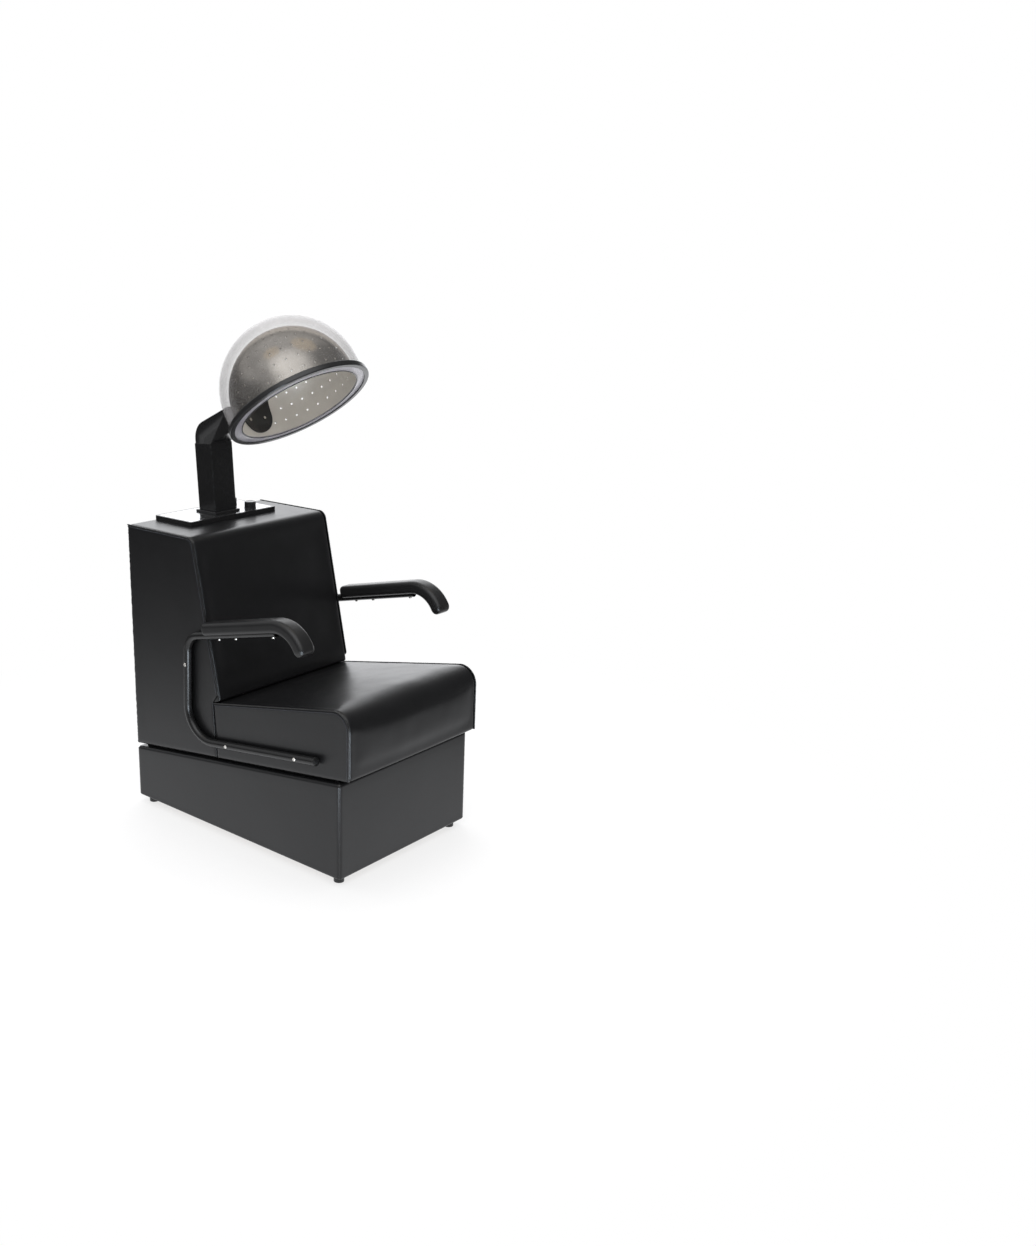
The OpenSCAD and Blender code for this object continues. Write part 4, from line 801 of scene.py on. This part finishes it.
welts, stitches = [], []
seatSeam = np.vstack([seatTopEdge, seatFrontEdge[::-1][1:]])
backSeam = np.vstack([backTopEdge, backFrontEdge[::-1][1:-2]])
for side in (-1, 1):
    weltX = side * (body["halfWidth"] - seamLook["weltInset"])
    faceX = side * (body["halfWidth"] - seamLook["stitchSunk"])
    for line, inset in ((seatSeam, seamLook["seatRow"]), (backSeam, seamLook["backRow"])):
        welts.append(weltRun(inset2d(line, seamLook["weltSunk"]), weltX, seamLook))
        inner = evenly(inset2d(evenly(line, 0.004), inset), 0.004)
        stitches += stitchRun([(faceX, y, z) for y, z in inner], (side, 0, 0), seamLook)
for sx in (-1, 1):
    for sy, y in ((-1, plinthLook["front"]), (1, plinthLook["rear"])):
        reach = plinthLook["corner"] * (1 - math.sqrt(0.5)) + 0.0008
        px, py = sx * (plinthLook["halfWidth"] - reach), y - sy * reach
        high = underside(py) - body["shadowGap"] - 0.004
        post = [(px, py, z) for z in np.linspace(plinthLook["weltFoot"], high, 60)]
        welts.append(sweepTube(post, plinthLook["weltRadius"], 8, crimp=lambda i: 0.08 * math.sin(i * 1.9)))
settle(joinParts("seamWelts", welts, weltVinyl), "chair", "vinyl")
settle(joinParts("seamStitches", stitches, darkThreadPaintedGlint), "chair", "vinyl")
print("seams made")


# arm pads: moulded foam swept along the rest

padLook = {
    "x": 0.2908, "start": (0.081, 0.630), "slope": 12.9, "straight": 0.288, "bendRadius": 0.094, "bend": 73,
    "width": 0.056, "thick": 0.038, "edge": 0.0125, "crown": 0.0012, "sides": 56}


def padSection(look):
    hw, ht = look["width"] / 2, look["thick"] / 2
    corners = [(hw, -ht), (hw, ht), (-hw, ht), (-hw, -ht)]
    outline = []
    for i, p in enumerate(corners):
        outline += arcAt(corners[i - 1], p, corners[(i + 1) % 4], look["edge"], 9)
    even = evenly(np.array(outline), 0.001, closed=True)
    picks = np.linspace(0, len(even), look["sides"], endpoint=False).astype(int)
    return [(a, b + look["crown"] * (1 - (a / hw) ** 2) * (b > 0)) for a, b in even[picks]]


def armPad(look):
    slope = math.radians(look["slope"])
    way = np.array((-math.cos(slope), math.sin(slope)))
    up = np.array((math.sin(slope), math.cos(slope)))
    start = np.array(look["start"]) + up * look["thick"] / 2
    turn = start + way * look["straight"]
    centre = turn - up * look["bendRadius"]
    stations = []
    for a in np.linspace(0, 90, 10)[1:]:
        t = math.radians(a)
        stations.append((start + way * (0.010 * (1 - math.cos(t))), up, 0.74 + 0.26 * math.sin(t)))
    for s in np.linspace(0.06, 1, 26):
        stations.append((start + way * look["straight"] * s, up, 1.0))
    def onBend(a):
        c, s = math.cos(a), math.sin(a)
        u = np.array((up[0] * c - up[1] * s, up[0] * s + up[1] * c))
        return centre + u * look["bendRadius"], u
    for a in np.linspace(0, look["bend"], 22)[1:]:
        p, u = onBend(math.radians(a))
        stations.append((p, u, 1.0))
    tip, tipUp = onBend(math.radians(look["bend"]))
    tipWay = np.array((-tipUp[1], tipUp[0]))
    for a in np.linspace(0, 84, 12)[1:]:
        t = math.radians(a)
        stations.append((tip + tipWay * (look["thick"] / 2 * math.sin(t)), tipUp, 0.16 + 0.84 * math.cos(t) ** 0.8))
    section, sides = padSection(look), look["sides"]
    points = []
    for p, u, size in stations:
        for a, b in section:
            wide = a * (0.5 + 0.5 * size) if size < 1 else a
            q = p + u * b * size
            points.append((look["x"] + wide, q[0], q[1]))
    faces = bands(len(stations), sides) + capped(len(stations), sides)
    pair("armPad", points, faces, padSkin, "pad_skin", "arm_pad", 0.9)


armPad(padLook)
print("arm pads made")


# inner dome with its drilled pattern

hood = {
    "y": -0.003448, "z": 1.268989, "tilt": 35.5, "radius": 0.184, "skirt": 0.043, "thick": 0.0025,
    "outerSkirt": 0.053, "neckElevation": 10.8, "neckHole": 0.0265, "hole": 0.0060, "firstRow": 0.035,
    "rowPitch": 0.0375, "rows": 6, "columns": 32, "turn": 0.3, "bezelReach": 0.078,
    "trimRadius": 0.1795, "trimThick": 0.0016, "trimDrop": 0.0026}
hoodSpace = Matrix.Translation((0, hood["y"], hood["z"])) @ Matrix.Rotation(math.radians(-hood["tilt"]), 4, "X")


def domeProfile(radius, skirt, steps):
    line = [(radius, z) for z in np.linspace(0, skirt, 6)]
    line += [(radius * math.cos(a), skirt + radius * math.sin(a))
             for a in np.linspace(0, math.pi / 2, steps)[1:-1]]
    return line


def domeShell(radius, skirt, thick, sides=160, steps=64):
    outside = domeProfile(radius, skirt, steps)
    inside = domeProfile(radius - thick, skirt, steps)
    points = circles(outside + inside, sides)
    rows = len(outside)
    points += [(0, 0, skirt + radius), (0, 0, skirt + radius - thick)]
    topOut, topIn = len(points) - 2, len(points) - 1
    faces = bands(rows, sides) + [face[::-1] for face in bands(rows, sides, rows * sides)]
    for k in range(sides):
        n = (k + 1) % sides
        faces.append(((rows - 1) * sides + k, (rows - 1) * sides + n, topOut))
        faces.append(((2 * rows - 1) * sides + n, (2 * rows - 1) * sides + k, topIn))
        faces.append((rows * sides + k, rows * sides + n, n, k))
    return points, faces


def pegs(look):
    parts = []
    radius, skirt = look["radius"], look["skirt"]
    neck = Vector((0, math.cos(math.radians(look["neckElevation"])), math.sin(math.radians(look["neckElevation"]))))
    for i in range(look["rows"]):
        arc = look["firstRow"] + i * look["rowPitch"]
        up = max(0.0, arc - skirt) / radius
        z = min(arc, skirt)
        for k in range(look["columns"]):
            a = 2 * math.pi * (k + look["turn"]) / look["columns"]
            out = Vector((math.cos(a) * math.cos(up), math.sin(a) * math.cos(up), math.sin(up)))
            spot = Vector((0, 0, z)) + out * radius
            fromNeck = (spot - Vector((0, 0, look["outerSkirt"]))).cross(neck).length
            if spot.y > 0 and fromNeck < look["bezelReach"]:
                continue
            parts.append(peg(spot - out * look["thick"] * 2, out, look["hole"] / 2, look["thick"] * 3, 14))
    parts.append(peg(Vector((0, 0, look["outerSkirt"])) + neck * 0.12, neck, look["neckHole"], 0.12, 64))
    return parts


def peg(base, way, radius, length, sides):
    turn = way.to_track_quat("Z", "Y").to_matrix()
    points, faces = lathe([(radius, 0), (radius, length)], sides)
    return [base + turn @ Vector(p) for p in points], faces


def innerDome(look):
    shell = domeShell(look["radius"], look["skirt"], look["thick"])
    piece = makeMesh("innerDome", *shell)
    cutter = joinParts("domePegs", pegs(look))
    cut = piece.modifiers.new("drill", "BOOLEAN")
    cut.operation, cut.object, cut.solver = "DIFFERENCE", cutter, "MANIFOLD"
    mesh = bpy.data.meshes.new_from_object(piece.evaluated_get(bpy.context.evaluated_depsgraph_get()))
    piece.modifiers.remove(cut)
    piece.data = mesh
    bpy.data.objects.remove(cutter)
    mesh.materials.clear()
    for material in (smoke, smokeInside):
        mesh.materials.append(material)
    co = np.array([v.co for v in mesh.vertices])
    centre = np.stack([np.zeros(len(co)), np.zeros(len(co)), np.minimum(co[:, 2], look["skirt"])], 1)
    radial = unit(co - centre)
    normals = []
    for polygon in mesh.polygons:
        ids = list(polygon.vertices)
        flat = np.array(polygon.normal)
        along = flat @ radial[ids].mean(0)
        polygon.material_index = 1 if along < -0.5 else 0
        polygon.use_smooth = True
        for i in ids:
            if along > 0.9:
                normals.append(radial[i])
            elif along < -0.9:
                normals.append(-radial[i])
            else:
                normals.append(flat)
    mesh.normals_split_custom_set([tuple(map(float, n)) for n in normals])
    mesh.transform(hoodSpace)
    settle(piece, "hood", "smoke_acrylic", "inner_dome")


def trimRing(look):
    path = [hoodSpace @ p for p in circles([(look["trimRadius"], -look["trimDrop"])], 160)]
    ring = joinParts("innerTrim", [sweepTube(path, look["trimThick"], 8, closed=True)], rimBlack)
    settle(ring, "hood", "black_plastic")


innerDome(hood)
trimRing(hood)
print("inner dome made")


# knobs

knobLook = {"x": 0.097, "timerY": 0.314, "heatY": 0.402, "base": 0.9148, "height": 0.022, "radius": 0.019,
            "flutes": 30, "fluteDepth": 0.00045, "crease": 35}


def knob(name, y, bodyName, look):
    r, h = look["radius"], look["height"]
    profile = [(r * 0.60, 0), (r, 0), (r, 0.0016), (r * 0.97, 0.0022), (r * 0.965, 0.004), (r * 0.95, h * 0.6),
               (r * 0.935, h - 0.0016), (r * 0.90, h - 0.0004), (r * 0.86, h), (r * 0.60, h - 0.0003),
               (r * 0.58, h - 0.0006), (r * 0.2, h - 0.0006)]
    sides = look["flutes"] * 6
    points, faces = lathe(profile, sides)
    shaped = []
    for i, p in enumerate(points):
        ring, k = divmod(i, sides)
        dent = look["fluteDepth"] * (0.5 - 0.5 * math.cos(2 * math.pi * k / 6)) if 4 <= ring <= 6 else 0
        out = Vector((p.x, p.y, 0)).normalized()
        shaped.append(p - out * dent)
    piece = fixNormals(makeMesh(name, shaped, faces, knobBlack))
    piece.data.set_sharp_from_angle(angle=math.radians(look["crease"]))
    bar = makeMesh(name + "Pointer", *lathe([(0.0004, 0.0), (0.0006, 0.0002), (0.0006, 0.0004), (0.0003, 0.0006)], 12),
                   markWhite)
    bar.data.transform(Matrix.Translation((0, -r * 0.52, h - 0.0007)) @ Matrix.Diagonal((1, 6.5, 1, 1)))
    for made in (piece, bar):
        made.data.transform(Matrix.Translation((look["x"], y, look["base"])))
    settle(piece, bodyName, "knob_plastic", bodyName)
    settle(bar, bodyName, "knob_plastic")


# each knob's body and its construction node share a name
knob("timerKnob", knobLook["timerY"], "timer_knob", knobLook)
knob("heatKnob", knobLook["heatY"], "heat_knob", knobLook)
print("knobs made")


# dressed construction nodes

def easeEdges(name, width, segments=2, angle=35):
    node = nodes[name]
    node.data.polygons.foreach_set("use_smooth", [True] * len(node.data.polygons))
    weld = node.modifiers.new("weld", "WELD")
    weld.merge_threshold = 0.00002
    flat = node.modifiers.new("flat", "DECIMATE")
    flat.decimate_type, flat.angle_limit = "DISSOLVE", math.radians(0.5)
    bevel = node.modifiers.new("ease", "BEVEL")
    bevel.width, bevel.segments = width, segments
    bevel.limit_method, bevel.angle_limit = "ANGLE", math.radians(angle)
    bevel.harden_normals = False
    even = node.modifiers.new("shade", "WEIGHTED_NORMAL")
    even.keep_sharp = False


looks = {
    plywood: ["plinth_bottom", "seat_board", "back_board", "shelf_board"],
    # boards that show in the seams and in the recess under the body are coloured black, as painted shade
    boardPaintedShade: ["spacer_board", "rear_panel", "plinth_box", "side_board_left", "side_board_right", "floor_board",
                 "front_board", "top_board"],
    rubberBlack: ["feet"],
    nickel: ["foot_bolts", "panel_screws", "arm_screws", "pad_screws", "bezel_screws", "hinge_pins", "heater_rods",
             "motor_shaft"],
    plasticBlack: ["cable_gland", "column_collar", "hood_neck", "neck_bezel", "tray"],
    rimBlack: ["rim_ring"],
    knobBlack: ["timer_knob", "heat_knob"],
    tubeBlack: ["arm_tube_left", "arm_tube_right"],
    columnBlack: ["column", "elbow"],
    padSkin: ["arm_pad_left", "arm_pad_right", "arm_plugs"],
    brightPlate: ["face_plate"],
    zinc: ["duct_sleeve", "blower_housing", "motor_bracket", "blower_stand", "heater_housing", "intake_screen",
           "timer", "heat_switch", "motor", "blower_wheel"],
    micaCard: ["heater_cards"],
    clear: ["outer_dome"],
    frost: ["rim_flange"],
    smoke: ["inner_dome"],
    vinyl: ["plinth_cover", "seat_cushion", "back_cushion", "seat_side_left", "seat_side_right", "back_side_left",
            "back_side_right", "top_cover"]}
for material, names in looks.items():
    for name in names:
        mesh = nodes[name].data
        if len(mesh.materials):
            for i in range(len(mesh.materials)):
                mesh.materials[i] = material
        else:
            mesh.materials.append(material)

edges = {"column": 0.0022, "elbow": 0.0022, "column_collar": 0.0015, "tray": 0.0012, "feet": 0.0015,
         "face_plate": 0.0004}
for name, width in edges.items():
    easeEdges(name, width)
print("nodes dressed")


# floor, light and camera

# lamps as place, side and power; the camera is the one solved from the photo, in metres and degrees
studio = {
    "floorHalf": 8, "aim": 0.6, "topLight": ((0.3, 0.5, 3.0), 1.8, 46), "frontLight": ((-2.4, -1.6, 2.9), 1.2, 26),
    "eye": (-2.6054, -2.5781, 1.6770), "down": 16.078, "turn": -47.144, "lens": 36.854, "sensor": 36,
    "shift": 0.14286}

# the floor is matt under the object, and what shiny surfaces see of it is set apart:
# near and far glow, a strip in front of the chair and the bright ground behind it
floorLook = {
    "solid": 0.72, "shadowReach": 1.9, "near": 1.0, "far": 0.27, "side": 0.25, "lost": 0.12, "rear": 1.5,
    "strip": 12.0, "stripTint": (0.80, 0.90, 1, 1), "tint": (0.97, 0.98, 1, 1)}


def floorMaterial(look):
    shade = Shade("floorWhite")
    place = shade.place()
    x, y, _ = shade.split(place)
    fine = shade.grain(30, 3.0, 0.5, place)
    tone = shade.blendColour(fine, (0.90, 0.90, 0.91, 1), (0.94, 0.94, 0.945, 1))
    matt = shade.node("BsdfPrincipled", {
        "Base Color": tone, "Roughness": 0.6, "Specular IOR Level": 0.3})
    white = shade.source("Emission", (1, 1, 1, 1), 1.0)
    radius = (x * x + y * y) ** 0.5
    solid = shade.ease(radius, 0.6, look["shadowReach"], look["solid"], 1.0)
    mixed = shade.mix(shade.ray("Camera") * solid, matt, white)
    along = (x + y) * 0.7071
    across = (x - y) * 0.7071
    near = (shade.ease(radius, 0.75, 2.6, look["near"], look["far"])
            * shade.ease(across, 0.8, 2.8, 1.0, look["side"]) * shade.ease(radius, 2.9, 4.1, 1.0, look["lost"]))
    rear = shade.ease(along, 0.7, 2.2, 0.0, look["rear"]) * shade.ease(across, -2.4, -0.7)
    front = shade.ease(along, -1.0, -1.5, 0.0, look["strip"]) * shade.ease(across.size(), 0.6, 0.25)
    tint = shade.blendColour(front.clamped(), look["tint"], look["stripTint"])
    final = shade.mix(shade.ray("Glossy"), mixed, shade.source("Emission", tint, near + rear + front))
    shade.node("OutputMaterial", {"Surface": final})
    return shade.material


half = studio["floorHalf"]
floor = makeMesh("studioFloor", [(-half, -half, 0), (half, -half, 0), (half, half, 0), (-half, half, 0)],
                 [(0, 1, 2, 3)], floorMaterial(floorLook), smooth=False)

# what the shiny pieces see of the room: lobes as direction, start, full and level
roomLook = {
    "rear": ((0.70, 0.66, 0.27), 0.84, 0.97, 2.1), "back": ((0.0, 1.0, 0.0), 0.5, 0.95, 0.55),
    "dusk": ((0.62, -0.42, 0.66), 0.82, 0.97, 0.8), "key": ((-0.5, -0.36, 0.79), 0.76, 0.99, 1.1),
    "ribsRight": ((0.28, -0.05, 0.96), 0.955, 0.975), "ribsLeft": ((-0.36, 0.33, 0.87), 0.972, 0.985),
    "ribPitch": 75, "ribGlow": 1.2, "overhead": 0.62, "left": 0.45, "rest": 0.1, "fill": 1.0,
    "tint": (0.97, 0.98, 1, 1), "ribTint": (1, 0.84, 0.62, 1)}


def roomWorld(look):
    world = bpy.data.worlds.new("studioWorld")
    scene.world = world
    sky = Shade("sky", owner=world)
    dx, dy, dz = sky.split(sky.node("TexCoord", out="Generated"))

    def lobe(way, low, high, level=1.0):
        return sky.ease(dx * way[0] + dy * way[1] + dz * way[2], low, high, 0.0, level)

    back = lobe(*look["back"]) * sky.ease(dz, 0.1, 0.4)
    overhead = sky.ease(dz, 0.5, 0.85, 0.0, look["overhead"]) * (1 - lobe(*look["dusk"]))
    left = sky.ease(dx, -0.3, -0.75, 0.0, look["left"]) * sky.ease(dz, 0.08, 0.45)
    warm = (lobe(*look["ribsRight"]) + lobe(*look["ribsLeft"])).clamped()
    ribs = ((dx + dy) * 0.7071 * look["ribPitch"]).sine() * 0.5 + 0.5
    glow = lobe(*look["rear"]) + back + overhead * (1 - warm * 0.6) + left + lobe(*look["key"])
    plain = sky.source("Background", (1, 1, 1, 1), look["fill"])
    mirror = sky.source("Background", sky.blendColour(warm * ribs, look["tint"], look["ribTint"]),
                        glow + warm * ribs * look["ribGlow"] + look["rest"])
    lit = sky.mix(sky.ray("Glossy"), plain, mirror)
    seen = (sky.ray("Camera") + sky.ray("Transmission")).clamped()
    sky.node("OutputWorld", {"Surface": sky.mix(seen, lit, sky.source("Background", (1, 1, 1, 1), 1.0))})


roomWorld(roomLook)


def softBox(name, place, side, power):
    data = bpy.data.lights.new(name, "AREA")
    data.shape, data.size, data.energy = "SQUARE", side, power
    lamp = bpy.data.objects.new(name, data)
    lamp.visible_glossy = False
    lamp.location = place
    lamp.rotation_euler = (Vector((0, 0, studio["aim"])) - lamp.location).to_track_quat("-Z", "Y").to_euler()
    scene.collection.objects.link(lamp)


softBox("topLight", *studio["topLight"])
softBox("frontLight", *studio["frontLight"])

eye = bpy.data.cameras.new("viewCamera")
eye.sensor_width, eye.lens, eye.shift_x = studio["sensor"], studio["lens"], studio["shift"]
camera = bpy.data.objects.new("viewCamera", eye)
camera.location = studio["eye"]
camera.rotation_euler = (math.radians(90 - studio["down"]), 0, math.radians(studio["turn"]))
scene.collection.objects.link(camera)
scene.camera = camera
scene.view_settings.view_transform = "Standard"

print("stage set")
